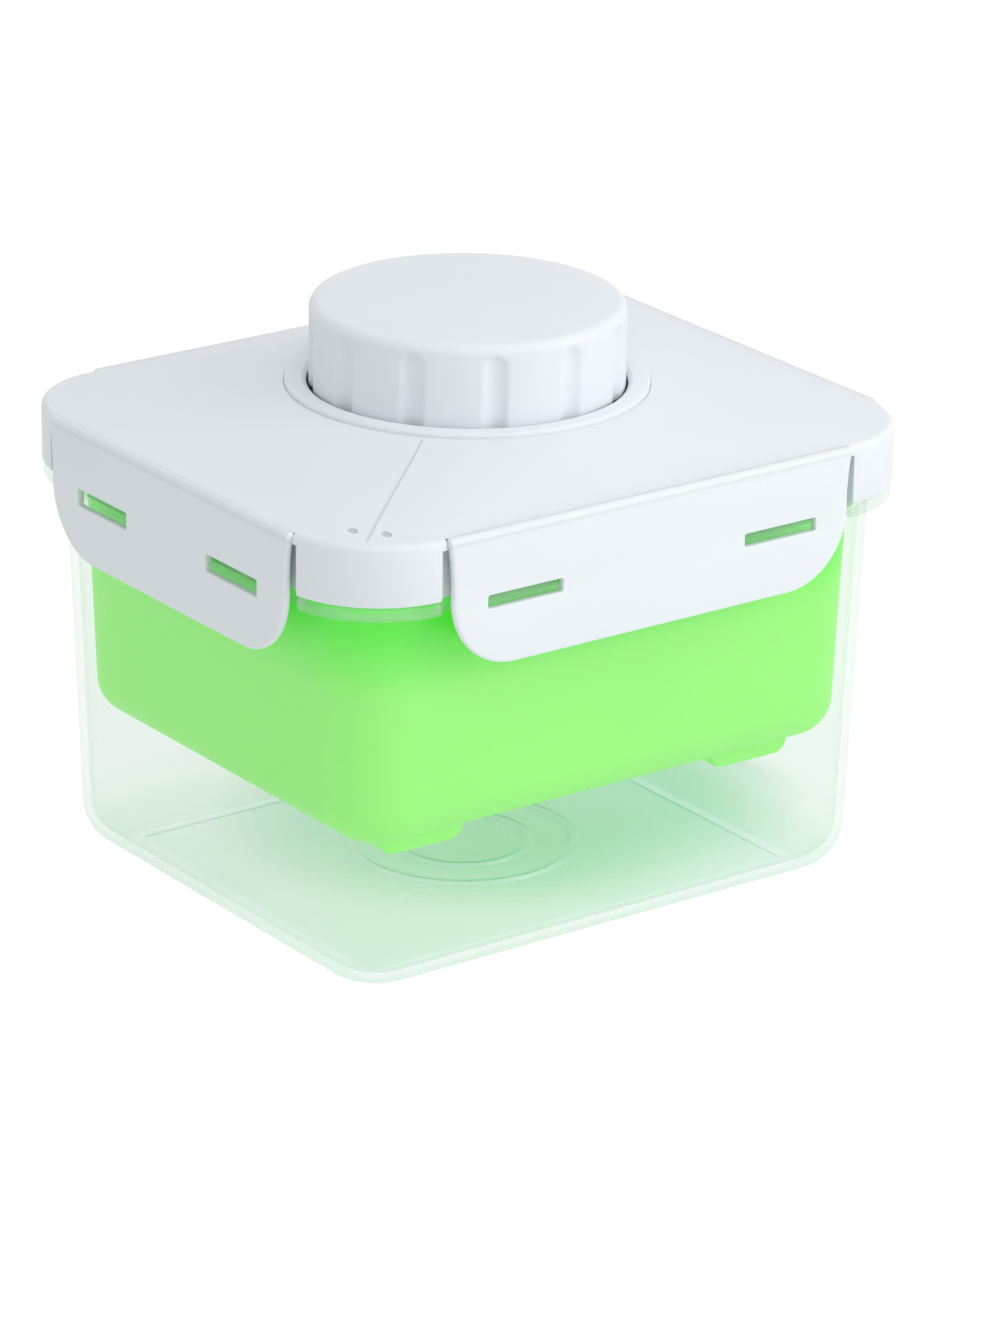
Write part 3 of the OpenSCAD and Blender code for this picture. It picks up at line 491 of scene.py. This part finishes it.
def flap_shape(kind):
    """A plate with two latch slots, round lower corners and ends that lean out towards the hinge, under a
    round roll along the hinge. kind is 0 for the long flaps and 1 for the short ones."""
    half, slot_x, slot_h = HALF[kind], SLOT_X[kind], SLOT_H[kind] / 2
    drop, top, r = FLAP_H - HINGE_R, half + FLAP_FLARE, FLAP_R
    left_end = [(-top, 0), (-half - FLARE_MID, -FLARE_H * 0.5), (-half, -FLARE_H)]
    right_end = [(half, -FLARE_H), (half + FLARE_MID, -FLARE_H * 0.5), (top, 0)]
    outline = np.concatenate([left_end, arc(-half + r, r - drop, r, 180, 270, 16),
                              arc(half - r, r - drop, r, 270, 360, 16), right_end])
    z, s = HINGE_R - SLOT_DROP, SLOT_L / 2
    corners = ((-s, -slot_h), (-s, slot_h), (s, slot_h), (s, -slot_h))
    slots = [rounded([(x + u, z + v, SLOT_CORNER_R) for u, v in corners], 3) for x in (-slot_x, slot_x)]
    flat = plate([outline, *slots], FLAP_T, FLAP_EDGE, 5, SLOT_EDGE)
    a = np.linspace(0, 2 * math.pi, ROLL_SIDES, endpoint=False)
    # (place along the roll, radius) for its rounded ends
    rows = [(-top, 0.7), (-top + 0.12, 1.05), (-top + 0.4, HINGE_R)]
    rows += [(-x, r) for x, r in rows[::-1]]
    roll = [np.column_stack([np.full(ROLL_SIDES, x), HINGE_IN + r * np.cos(a), HINGE_Z + r * np.sin(a)])
            for x, r in rows]
    return joined(upright(flat, FLAP_T - FLAP_STAND, HINGE_Z), skin(roll))


def knob_shape():
    """A turned cap whose side is cut by twelve round grooves: at angle q from a groove's middle, its cutter
    is met at C cos q - sqrt(g^2 - C^2 sin^2 q) from the axis, where C is the cutter's distance and g its
    radius, which shrinks as a ball's does at the groove's top. The top is a shallow dome, a part of a ball
    of radius (a^2 + h^2) / 2h for a dome of height h on a circle of radius a."""
    rc, r = KNOB_EDGE, KNOB_R
    shoulder = KNOB_TOP - rc
    top = arc(r - rc, shoulder, rc, 0, 80, 8)
    # rings over the dome, a little closer together towards its edge
    flat = np.linspace(1, 0, 15)[1:] ** 0.8 * top[-1, 0]
    ball = ((r - rc) ** 2 + KNOB_DOME ** 2) / (2 * KNOB_DOME)
    crown = np.maximum(KNOB_TOP + KNOB_DOME - ball + np.sqrt(ball ** 2 - flat ** 2), KNOB_TOP + 0.001)
    groove_top = shoulder - math.sqrt(GROOVE_R ** 2 - (GROOVE_R - GROOVE_DEPTH) ** 2)
    side_z = np.concatenate([[KNOB_LOW, KNOB_LOW + 0.2, KNOB_LOW + 0.6],
                             np.linspace(KNOB_LOW + 2, groove_top, 8),
                             np.linspace(groove_top, shoulder, 15)[1:-1]])
    side_r = np.where(side_z < KNOB_LOW + 0.1, r - 0.6, np.where(side_z < KNOB_LOW + 0.4, r - 0.2, r))
    section = np.concatenate([np.column_stack([side_r, side_z]), top, np.column_stack([flat, crown])])

    n = GROOVE_SIDES * GROOVES
    q = np.linspace(0, 2 * math.pi, n, endpoint=False)
    near = (q + math.pi / GROOVES) % (2 * math.pi / GROOVES) - math.pi / GROOVES
    far = r - GROOVE_DEPTH + GROOVE_R
    g2 = np.maximum(GROOVE_R ** 2 - np.maximum(section[:, 1] - groove_top, 0) ** 2, 0)[:, None]
    room = g2 - (far * np.sin(near)) ** 2
    cutter = np.where(room > 0, far * np.cos(near) - np.sqrt(np.maximum(room, 0)), far)
    plain = np.broadcast_to(section[:, :1], cutter.shape)
    # the smaller of the two, with the step between them softened on the side; the dome stays plain
    share = np.clip(0.5 + 0.5 * (cutter - plain) / GROOVE_SOFT, 0, 1)
    radius = cutter * (1 - share) + plain * share - GROOVE_SOFT * share * (1 - share) * (plain > r - 3)
    radius = np.where(section[:, 1:] > KNOB_TOP - 0.4, plain, np.minimum(radius, plain))
    q = q + math.radians(GROOVE_PHASE)
    outside = np.stack([radius * np.cos(q), radius * np.sin(q),
                        np.broadcast_to(section[:, 1:], radius.shape)], -1)

    ceiling, bore = KNOB_TOP - KNOB_WALL, r - KNOB_WALL
    inner = [(0, ceiling), (KNOB_RING_IN, ceiling), (KNOB_RING_IN, ceiling - KNOB_RING_H),
             (KNOB_RING_OUT, ceiling - KNOB_RING_H), (KNOB_RING_OUT, ceiling), (bore - 0.8, ceiling),
             (bore, ceiling - 0.8), (bore, KNOB_LOW + 0.3), (bore + 0.3, KNOB_LOW)]
    inside = [np.column_stack([a * np.cos(q), a * np.sin(q), np.full(n, z)]) for a, z in inner]
    return skin(inside + list(outside), ends=(False, False))


def housing_shape():
    """The turned cup that the knob sinks into, with the collar as its rim and a narrow lip inside it."""
    outer, rim, lip, collar_low = WELL_R + WELL_WALL, WELL_R + COLLAR_W, WELL_R - WELL_LIP, ROOF_Z - COLLAR_T
    return lathe(rounded([(NUT_HOLE_R, HOUSING_LOW, 0.3), (outer, HOUSING_LOW, 0.8), (outer, collar_low, 0.1),
                          (rim, collar_low, 0.1), (rim, COLLAR_Z, 0.75), (WELL_R, COLLAR_Z, 0.5),
                          (lip, COLLAR_Z - 0.9, 0.4), (lip, COLLAR_Z - 1.8, 0.3), (WELL_R, COLLAR_Z - 3, 0.3),
                          (WELL_R, HOUSING_FLOOR, 1.0), (NUT_HOLE_R, HOUSING_FLOOR, 0.3)]), 240)


def press_plate_shape():
    """The deck with its drain holes, the upstand round it, the hub, post and cup, and the sloping ribs."""
    outline = Outline()
    w, d = LID_W / 2 - PLATE_INSET, LID_D / 2 - PLATE_INSET
    across, deep = (w - HOLE_MARGIN) // HOLE_PITCH, (d - HOLE_MARGIN) // HOLE_PITCH
    x, y = (v.ravel().astype(float) for v in np.meshgrid(np.arange(-across, across + 1) * HOLE_PITCH,
                                                         np.arange(-deep, deep + 1) * HOLE_PITCH))
    off_diagonal = abs(abs(x) * d - abs(y) * w) / math.hypot(w, d)
    clear = (np.hypot(x, y) > CUP_R + HOLE_CUP_CLEAR) & (abs(x) > HOLE_CLEAR) & (abs(y) > HOLE_CLEAR)
    clear &= off_diagonal > HOLE_CLEAR
    holes = [arc(a, b, HOLE_R, 0, -360, 20)[:-1] for a, b in zip(x[clear], y[clear])]
    edge = outline.ring(PLATE_INSET, 0)[:, :2]
    edge = edge[np.linalg.norm(np.roll(edge, -1, 0) - edge, axis=1) > 1e-3]
    points, faces = plate([edge, *holes], PLATE_T, 0.4)

    top, outer, inner = PLATE_Z + PLATE_T, PLATE_INSET + 0.1, PLATE_INSET + UPSTAND_T
    upstand = rounded([(outer, top - 0.5, 0), (outer, top + UPSTAND_H, 0.5), (inner, top + UPSTAND_H, 0.5),
                       (inner, top - 0.5, 0)])
    hub = rounded([(0, top - 1, 0), (HUB_R, top - 1, 0), (HUB_R, HUB_TOP, 0.4), (POST_R, HUB_TOP, 0.2),
                   (POST_R, POST_TOP, 0.4), (POST_HOLE_R, POST_TOP, 0.2), (POST_HOLE_R, POST_HOLE_LOW, 0),
                   (0, POST_HOLE_LOW, 0)])
    cup = rounded([(CUP_IN, top - 1, 0), (CUP_R, top - 1, 0), (CUP_R, top + CUP_H, 0.5),
                   (CUP_IN, top + CUP_H, 0.5)])
    parts = [(points + (0, 0, PLATE_Z), faces), skin(outline.sweep(upstand), closed=True),
             lathe(hub, 96, closed=False), lathe(cup, 128)]
    # a round corner lies about (sqrt 2 - 1) of its radius short of the sharp one
    to_corner = math.hypot(w, d) - 0.42 * (CORNER_R - PLATE_INSET)
    for angle, reach in zip(spokes(w, d), (w, to_corner, d, to_corner) * 2):
        start, end = CUP_R - 1, reach - PLATE_RIB_END
        section = np.array([(start, top - 0.5), (end, top - 0.5), (end, top + UPSTAND_H),
                            (start, top + PLATE_RIB_H)])
        parts.append(moved(upright(plate([section], PLATE_RIB_T, 0.3, 2), PLATE_RIB_T / 2), angle))
    return joined(*parts)


# ---------------------------------------------------------------- materials
# places of node outputs: Texture Coordinate, Layer Weight, and three of Light Path's
OBJECT_COORDS, FACING = 3, 1
CAMERA_RAY, GLOSSY_RAY, TRANSMISSION_RAY = 0, 3, 6

WHITE = (0.845, 0.885, 0.925)
# the basket's green, and the strength of its painted glow, an emission that stands in for light carried
# inside the plastic
BASKET_GREEN, BASKET_GLOW = (0.10, 0.91, 0.012), 0.25
# painted light: added to the basket's green lower down, as if more light came through from the floor
PAINTED_LIGHT_LIFT = (0.29, -0.01, 0.2)
# the box's milky body, and the green-teal that its floor is painted towards: painted green reflection of the
# basket and painted shade under it
CLEAR_BODY, CLEAR_FLOOR_PAINTED_GREEN = (0.88, 0.94, 0.90, 1), (0.18, 0.90, 0.60, 1)
CLEAR_TINT, CLEAR_SHINE = (0.978, 0.992, 0.986, 1), (0.95, 0.97, 0.96, 1)
# heights in millimetres over which the box's milkiness fades: up from the floor and from the bottom edge,
# and to each side of the flange's middle
FLOOR_FADE, EDGE_FADE, FLANGE_FADE = 16.0, 7.0, 3.0
# the floor's painted patch, greener and milkier, a painted green reflection of the basket and painted shade
# under it, in metres: its middle, and one over its half width and half depth
PAINTED_PATCH_X, PAINTED_PATCH_Y, PAINTED_PATCH_PER_W, PAINTED_PATCH_PER_D = 0.028, 0.014, 12.5, 15.0
# height in metres below which the basket is painted paler, as painted light, and how much for each metre
PAINTED_LIGHT_Z, PAINTED_LIGHT_RATE = 0.086, 60.0


class Wire:
    """A shader value that takes part in arithmetic: each operation adds its Math node."""

    def __init__(self, look, socket):
        self.look, self.socket = look, socket

    def _op(self, kind, *values):
        return self.look.node("ShaderNodeMath", {"operation": kind}, dict(enumerate(values)))[0]

    def __add__(self, other):
        return self._op("ADD", self, other)

    def __sub__(self, other):
        return self._op("SUBTRACT", self, other)

    def __rsub__(self, other):
        return self._op("SUBTRACT", other, self)

    def __mul__(self, other):
        return self._op("MULTIPLY", self, other)

    def __truediv__(self, other):
        return self._op("DIVIDE", self, other)

    def __abs__(self):
        return self._op("ABSOLUTE", self)

    def __pow__(self, other):
        return self._op("POWER", self, other)

    def least(self, other):
        return self._op("MINIMUM", self, other)

    def most(self, other):
        return self._op("MAXIMUM", self, other)

    __radd__, __rmul__ = __add__, __mul__


class Look:
    """A node tree being built. node() is the one way that nodes are added."""

    def __init__(self, owner):
        owner.use_nodes = True
        self.owner, self.tree = owner, owner.node_tree
        self.tree.nodes.clear()

    def node(self, kind, settings=None, inputs=None):
        """Adds a node: its settings first, then its inputs by name or number, each a value or a Wire.
        Returns its outputs as Wires."""
        made = self.tree.nodes.new(kind)
        for key, value in (settings or {}).items():
            setattr(made, key, value)
        for key, value in (inputs or {}).items():
            if isinstance(value, Wire):
                self.tree.links.new(value.socket, made.inputs[key])
            else:
                made.inputs[key].default_value = value
        return [Wire(self, s) for s in made.outputs]

    def shader(self, kind, **inputs):
        """Adds a shader; an input's name has underscores for its spaces."""
        named = {name.replace("_", " "): value for name, value in inputs.items()}
        return self.node(f"ShaderNode{kind}", None, named)[0]

    def xyz(self, place):
        """The three parts of a place."""
        return self.node("ShaderNodeSeparateXYZ", None, {0: place})

    def noise(self, place, scale, detail=3.0):
        """Smooth noise from 0 to 1, with about scale waves in a metre."""
        return self.node("ShaderNodeTexNoise", None, {"Vector": place, "Scale": scale, "Detail": detail})[0]

    def mix(self, share, a, b):
        """Colour a where share is 0 and colour b where it is 1."""
        return self.node("ShaderNodeMix", {"data_type": "RGBA"}, {0: share, 6: a, 7: b})[2]

    def blend(self, share, a, b):
        """Shader a where share is 0 and shader b where it is 1."""
        return self.node("ShaderNodeMixShader", None, {0: share, 1: a, 2: b})[0]

    def done(self, surface):
        """Puts the finished shader on the surface and returns the material."""
        self.node("ShaderNodeOutputMaterial", None, {"Surface": surface})
        return self.owner


def new_look(name):
    """A new material's node tree, and the place on the object in metres."""
    look = Look(bpy.data.materials.new(name))
    return look, look.node("ShaderNodeTexCoord")[OBJECT_COORDS]


def plastic(name, colour, roughness, marks=None, **more):
    """Moulded plastic: a fine-grained surface whose roughness and colour wander slightly, as on a polished
    mould; marks(x, y, z) is 1 inside any sunk marks and 0 outside them, and there the surface sinks by bump
    and is darkened by painted shade. more are further shader inputs."""
    look, place = new_look(name)
    grain, mottle, mark_depth, painted_mark_shade = 0.00002, 0.03, 0.0004, 0.55
    broad, fine = look.noise(place, 38.0), look.noise(place, 2600.0, 2.0)
    height = fine * grain + look.noise(place, 160.0) * (grain * 1.5)
    dark = tuple(c * (1 - mottle) for c in colour)
    base = look.mix(broad, (*dark, 1), (*colour, 1))
    if marks:
        sunk = marks(*look.xyz(place))
        height = height - sunk * mark_depth
        # painted shade: the colour darkens inside the sunk marks
        base = look.mix(sunk ** 2.0 * 0.7, base, tuple(c * painted_mark_shade for c in colour) + (1,))
    normal = look.node("ShaderNodeBump", None, {"Strength": 1.0, "Distance": 1.0, "Height": height})[0]
    return look.done(look.shader("BsdfPrincipled", Base_Color=base, Roughness=roughness - 0.04 + broad * 0.08,
                                 Normal=normal, **more))


def corner_marks(x, y, z):
    """A fine line along the lid's diagonal towards its front left corner, half as deep as the dimple on each
    side of its end: 1 inside a dimple, falling to 0 over its soft edge. The dimples are slightly oval."""
    ux, uy = -LID_W / math.hypot(LID_W, LID_D), -LID_D / math.hypot(LID_W, LID_D)
    along = x * (1000 * ux) + y * (1000 * uy)
    across = x * (-1000 * uy) + y * (1000 * ux)
    line = 1 - (abs(across) - LINE_HALF_W).most(0) / LINE_SIDE_FADE
    line = line.least((LINE_END - along) / LINE_END_FADE).least((along - LINE_START) / LINE_START_FADE)
    marks = line.most(0) * 0.5
    for cx, cy in DIMPLES:
        side, deep = abs(x * 1000 - cx) * 1.15, abs(y * 1000 - cy) * 0.75
        off = ((side ** 2.0) + (deep ** 2.0)) ** 0.5
        marks = marks.most((1 - (off - DIMPLE_R).most(0) / DIMPLE_FADE).most(0))
    above = ((z - MARK_Z / 1000) * (1000 / MARK_FADE)).most(0).least(1)
    return marks * above


def brushed_steel(name):
    """Stainless steel with fine marks left by turning."""
    look, place = new_look(name)
    grain = look.noise(place, 900.0)
    normal = look.node("ShaderNodeBump", None, {"Strength": 0.4, "Distance": 0.0001, "Height": grain})[0]
    tone = look.mix(grain, (0.5, 0.51, 0.53, 1), (0.62, 0.63, 0.65, 1))
    return look.done(look.shader("BsdfPrincipled", Base_Color=tone, Metallic=1.0,
                                 Roughness=0.25 + grain * 0.15, Normal=normal))


def frosted_clear(name):
    """Clear moulded plastic. Most of what is behind it shows, faintly tinted. The rest is its own milky body:
    more of it where the surface turns away, and in the flange and the floor, where the plastic is thicker.
    The floor's body is painted greener, most of all in one patch: a painted green reflection of the basket
    and painted shade under it. Over both it reflects, most at a low angle."""
    look, place = new_look(name)
    x, y, z = look.xyz(place)
    height = z * 1000
    turned = look.node("ShaderNodeLayerWeight", None, {"Blend": 0.5})[FACING]
    cloud = look.noise(place, 22.0)
    flange = (1 - abs(height - (FLANGE_LOW + FLANGE_TOP) / 2) / FLANGE_FADE).most(0)
    floor, edge = (1 - height / FLOOR_FADE).most(0), (1 - height / EDGE_FADE).most(0)
    # painted reflection and shade: the floor is painted greener and milkier in one patch, where the basket's
    # green light and its shade fall
    across, deep = (x - PAINTED_PATCH_X) * PAINTED_PATCH_PER_W, (y - PAINTED_PATCH_Y) * PAINTED_PATCH_PER_D
    # even over the inner half of the painted patch, and only low down
    painted_patch = (1 - (across * across + deep * deep) ** 0.5).most(0).least(0.5) * 2 * (floor * 3).least(1)
    milk = 0.020 + cloud * 0.014 + turned ** 3.0 * 0.15
    milk = milk + flange * 0.15 + floor * 0.08 + edge * 0.05 + painted_patch * 0.27
    # the floor's body is painted green-teal, most in the patch: painted green reflection and painted shade
    tone = look.mix((painted_patch + floor * 0.5).least(1), CLEAR_BODY, CLEAR_FLOOR_PAINTED_GREEN)
    body = look.shader("BsdfPrincipled", Base_Color=tone, Roughness=0.3 + cloud * 0.1)
    through = look.shader("BsdfTransparent", Color=CLEAR_TINT)
    shine = look.shader("BsdfGlossy", Color=CLEAR_SHINE, Roughness=0.34)
    inside = look.blend(milk.least(0.9), through, body)
    return look.done(look.blend(0.03 + turned ** 5.0 * 0.35, inside, shine))


def lit_through(name, colour, glow):
    """Coloured plastic that lets light soak through it: it takes light on its own side and passes some on
    from the other. glow is the strength of a painted glow, an emission that stands in for the light that
    wanders along inside it. The colour is painted paler lower down: painted light, as if more light came
    through from the floor."""
    look, place = new_look(name)
    cloud = look.noise(place, 26.0)
    height = look.xyz(place)[2]
    # painted light: the green turns paler towards the bottom
    low = ((PAINTED_LIGHT_Z - height) * PAINTED_LIGHT_RATE + cloud * 0.12).most(0).least(1)
    pale = tuple(c + more for c, more in zip(colour, PAINTED_LIGHT_LIFT))
    tone = look.mix(low, (*colour, 1), (*pale, 1))
    # the emission is a painted glow in the basket's own colour
    body = look.shader("BsdfPrincipled", Base_Color=tone, Roughness=0.3 + cloud * 0.12, Emission_Color=tone,
                       Emission_Strength=glow, Specular_IOR_Level=0.3)
    passed = look.shader("BsdfTranslucent", Color=tone)
    return look.done(look.blend(0.25 + cloud * 0.1, body, passed))


soft_white = {"Subsurface_Weight": 0.12, "Subsurface_Radius": (1.0, 1.0, 1.0), "Subsurface_Scale": 0.0015,
              "Specular_IOR_Level": 0.35}
white = plastic("white moulded plastic", WHITE, 0.5, **soft_white)
white_lid = plastic("white moulded plastic of the lid", WHITE, 0.5, marks=corner_marks, **soft_white)
clear = frosted_clear("frosted clear plastic")
green = lit_through("green basket plastic", BASKET_GREEN, BASKET_GLOW)
plate_green = plastic("green plate plastic", (0.22, 0.8, 0.1), 0.4)
rubber = plastic("clear grey silicone", (0.66, 0.7, 0.7), 0.5)
grey = plastic("pale engineering plastic", (0.62, 0.65, 0.68), 0.4)
cream = plastic("cream low-friction plastic", (0.86, 0.82, 0.7), 0.35)
steel = brushed_steel("stainless steel")


# ---------------------------------------------------------------- the object
def piece(name, shape, node, material):
    """The shape as an object that stands for a CAD node and moves with its body. Its seams and poles are
    closed, and edges that turn by more than the sharp angle stay crisp."""
    points, faces = shape
    mesh = bpy.data.meshes.new(name)
    mesh.from_pydata((points * 0.001).tolist(), [], faces)
    bm = bmesh.new()
    bm.from_mesh(mesh)
    bmesh.ops.remove_doubles(bm, verts=bm.verts, dist=2e-6)
    bmesh.ops.dissolve_degenerate(bm, edges=bm.edges, dist=1e-6)
    bm.to_mesh(mesh)
    bm.free()
    mesh.polygons.foreach_set("use_smooth", np.ones(len(mesh.polygons), bool))
    mesh.set_sharp_from_angle(angle=math.radians(SHARP_ANGLE))
    mesh.materials.append(material)
    obj = bpy.data.objects.new(name, mesh)
    bpy.context.scene.collection.objects.link(obj)
    record = frame["record"]
    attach(obj, next(body for body, nodes in record["behaviour"]["bodies"].items() if node in nodes))
    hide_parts(node)


piece("clear_box", container_shape(), "container", clear)
piece("drain_basket", basket_shape(), "basket", green)
piece("lid_cover", lid_shape(), "lid", white_lid)
piece("lid_seal", gasket_shape(), "lid_gasket", rubber)
for k, side in enumerate(("front", "right", "back", "left")):
    piece(f"latch_flap_{side}", on_side(flap_shape(k % 2), k), f"flap_{side}", white)
piece("knob", knob_shape(), "knob_cap", white)
piece("knob_well", housing_shape(), "screw_housing", white)
piece("pressing_plate", press_plate_shape(), "press_plate", plate_green)
for node, material in (("housing_clip", steel), ("thread_nut", grey), ("nut_screws", steel),
                       ("screw_stem", grey), ("thrust_washer", cream), ("pivot_washer", steel),
                       ("pivot_screw", steel)):
    frame["nodes"][node].data.materials.clear()
    frame["nodes"][node].data.materials.append(material)


# ---------------------------------------------------------------- floor, light and camera, in metres
FLOOR_R, FLOOR_SIDES = 12, 64
# share of the seen floor that is its own white, how bright that white is, and the light from all round
FLOOR_OWN_WHITE, FLOOR_GLOW, ROUND_LIGHT = 0.9, 1.06, 0.64
# where the lamps aim: the middle of the press
AIM = Vector((0, 0, 0.07))


def seen_rays(look):
    """1 for rays that show the background: from the camera, off a glossy surface or through clear plastic."""
    path = look.node("ShaderNodeLightPath")
    return path[CAMERA_RAY].most(path[GLOSSY_RAY]).most(path[TRANSMISSION_RAY])


def make_floor():
    """A wide pale floor. Part of what is seen of it is its own even white, so that it stays a white
    background and still takes the object's shadow."""
    look = Look(bpy.data.materials.new("pale floor"))
    paper = look.shader("BsdfDiffuse", Color=(0.97, 0.97, 0.97, 1))
    glow = look.shader("Emission", Color=(1, 1, 1, 1), Strength=FLOOR_GLOW)
    material = look.done(look.blend(seen_rays(look) * FLOOR_OWN_WHITE, paper, glow))
    a = np.linspace(0, 2 * math.pi, FLOOR_SIDES, endpoint=False)
    points = np.column_stack([FLOOR_R * np.cos(a), FLOOR_R * np.sin(a), np.zeros(FLOOR_SIDES)])
    mesh = bpy.data.meshes.new("floor")
    mesh.from_pydata(points.tolist(), [], [list(range(FLOOR_SIDES))])
    mesh.materials.append(material)
    obj = bpy.data.objects.new("floor", mesh)
    bpy.context.scene.collection.objects.link(obj)


def make_world():
    """Even light from all round; the background itself shows as plain white."""
    world = bpy.data.worlds.new("studio")
    bpy.context.scene.world = world
    look = Look(world)
    light = look.shader("Background", Color=(0.98, 0.985, 0.995, 1), Strength=ROUND_LIGHT)
    backdrop = look.shader("Background", Color=(1, 1, 1, 1), Strength=1.0)
    both = look.blend(seen_rays(look), light, backdrop)
    look.node("ShaderNodeOutputWorld", None, {"Surface": both})


def softbox(name, place, size, power):
    """A flat square lamp that faces the object."""
    data = bpy.data.lights.new(name, "AREA")
    data.shape, data.size, data.energy = "SQUARE", size, power
    obj = bpy.data.objects.new(name, data)
    obj.location = place
    obj.rotation_euler = (AIM - Vector(place)).to_track_quat("-Z", "Y").to_euler()
    bpy.context.scene.collection.objects.link(obj)


def make_camera():
    """The photograph's camera, fitted to the box's edges: it looks back along `back` from `distance`, moved
    sideways and up by the two shifts, with its right side turned by the roll."""
    azimuth, elevation, roll = (math.radians(v) for v in (-36.33, 20.98, 0.82))
    distance, shift_right, shift_up = 1.4504, 0.00918, 0.04358
    focal_px, photo_px, sensor_mm = 6073.5, 1333, 36.0
    back = Vector((math.sin(azimuth) * math.cos(elevation), -math.cos(azimuth) * math.cos(elevation),
                   math.sin(elevation)))
    level = Vector((math.cos(azimuth), math.sin(azimuth), 0))
    upright_axis = back.cross(level)
    right = math.cos(roll) * level + math.sin(roll) * upright_axis
    up = -math.sin(roll) * level + math.cos(roll) * upright_axis
    data = bpy.data.cameras.new("camera")
    data.sensor_width, data.lens = sensor_mm, focal_px * sensor_mm / photo_px
    data.clip_start, data.clip_end = 0.05, 50
    obj = bpy.data.objects.new("camera", data)
    turn = Matrix((right, up, back)).transposed().to_4x4()
    obj.matrix_world = Matrix.Translation(distance * back + shift_right * right + shift_up * up) @ turn
    bpy.context.scene.collection.objects.link(obj)
    bpy.context.scene.camera = obj


make_camera()
make_floor()
make_world()
softbox("key", (0.75, -1.15, 0.7), 0.9, 6.7)
softbox("top", (-0.15, -0.5, 1.35), 1.0, 3.8)
bpy.context.scene.view_settings.view_transform = "Standard"
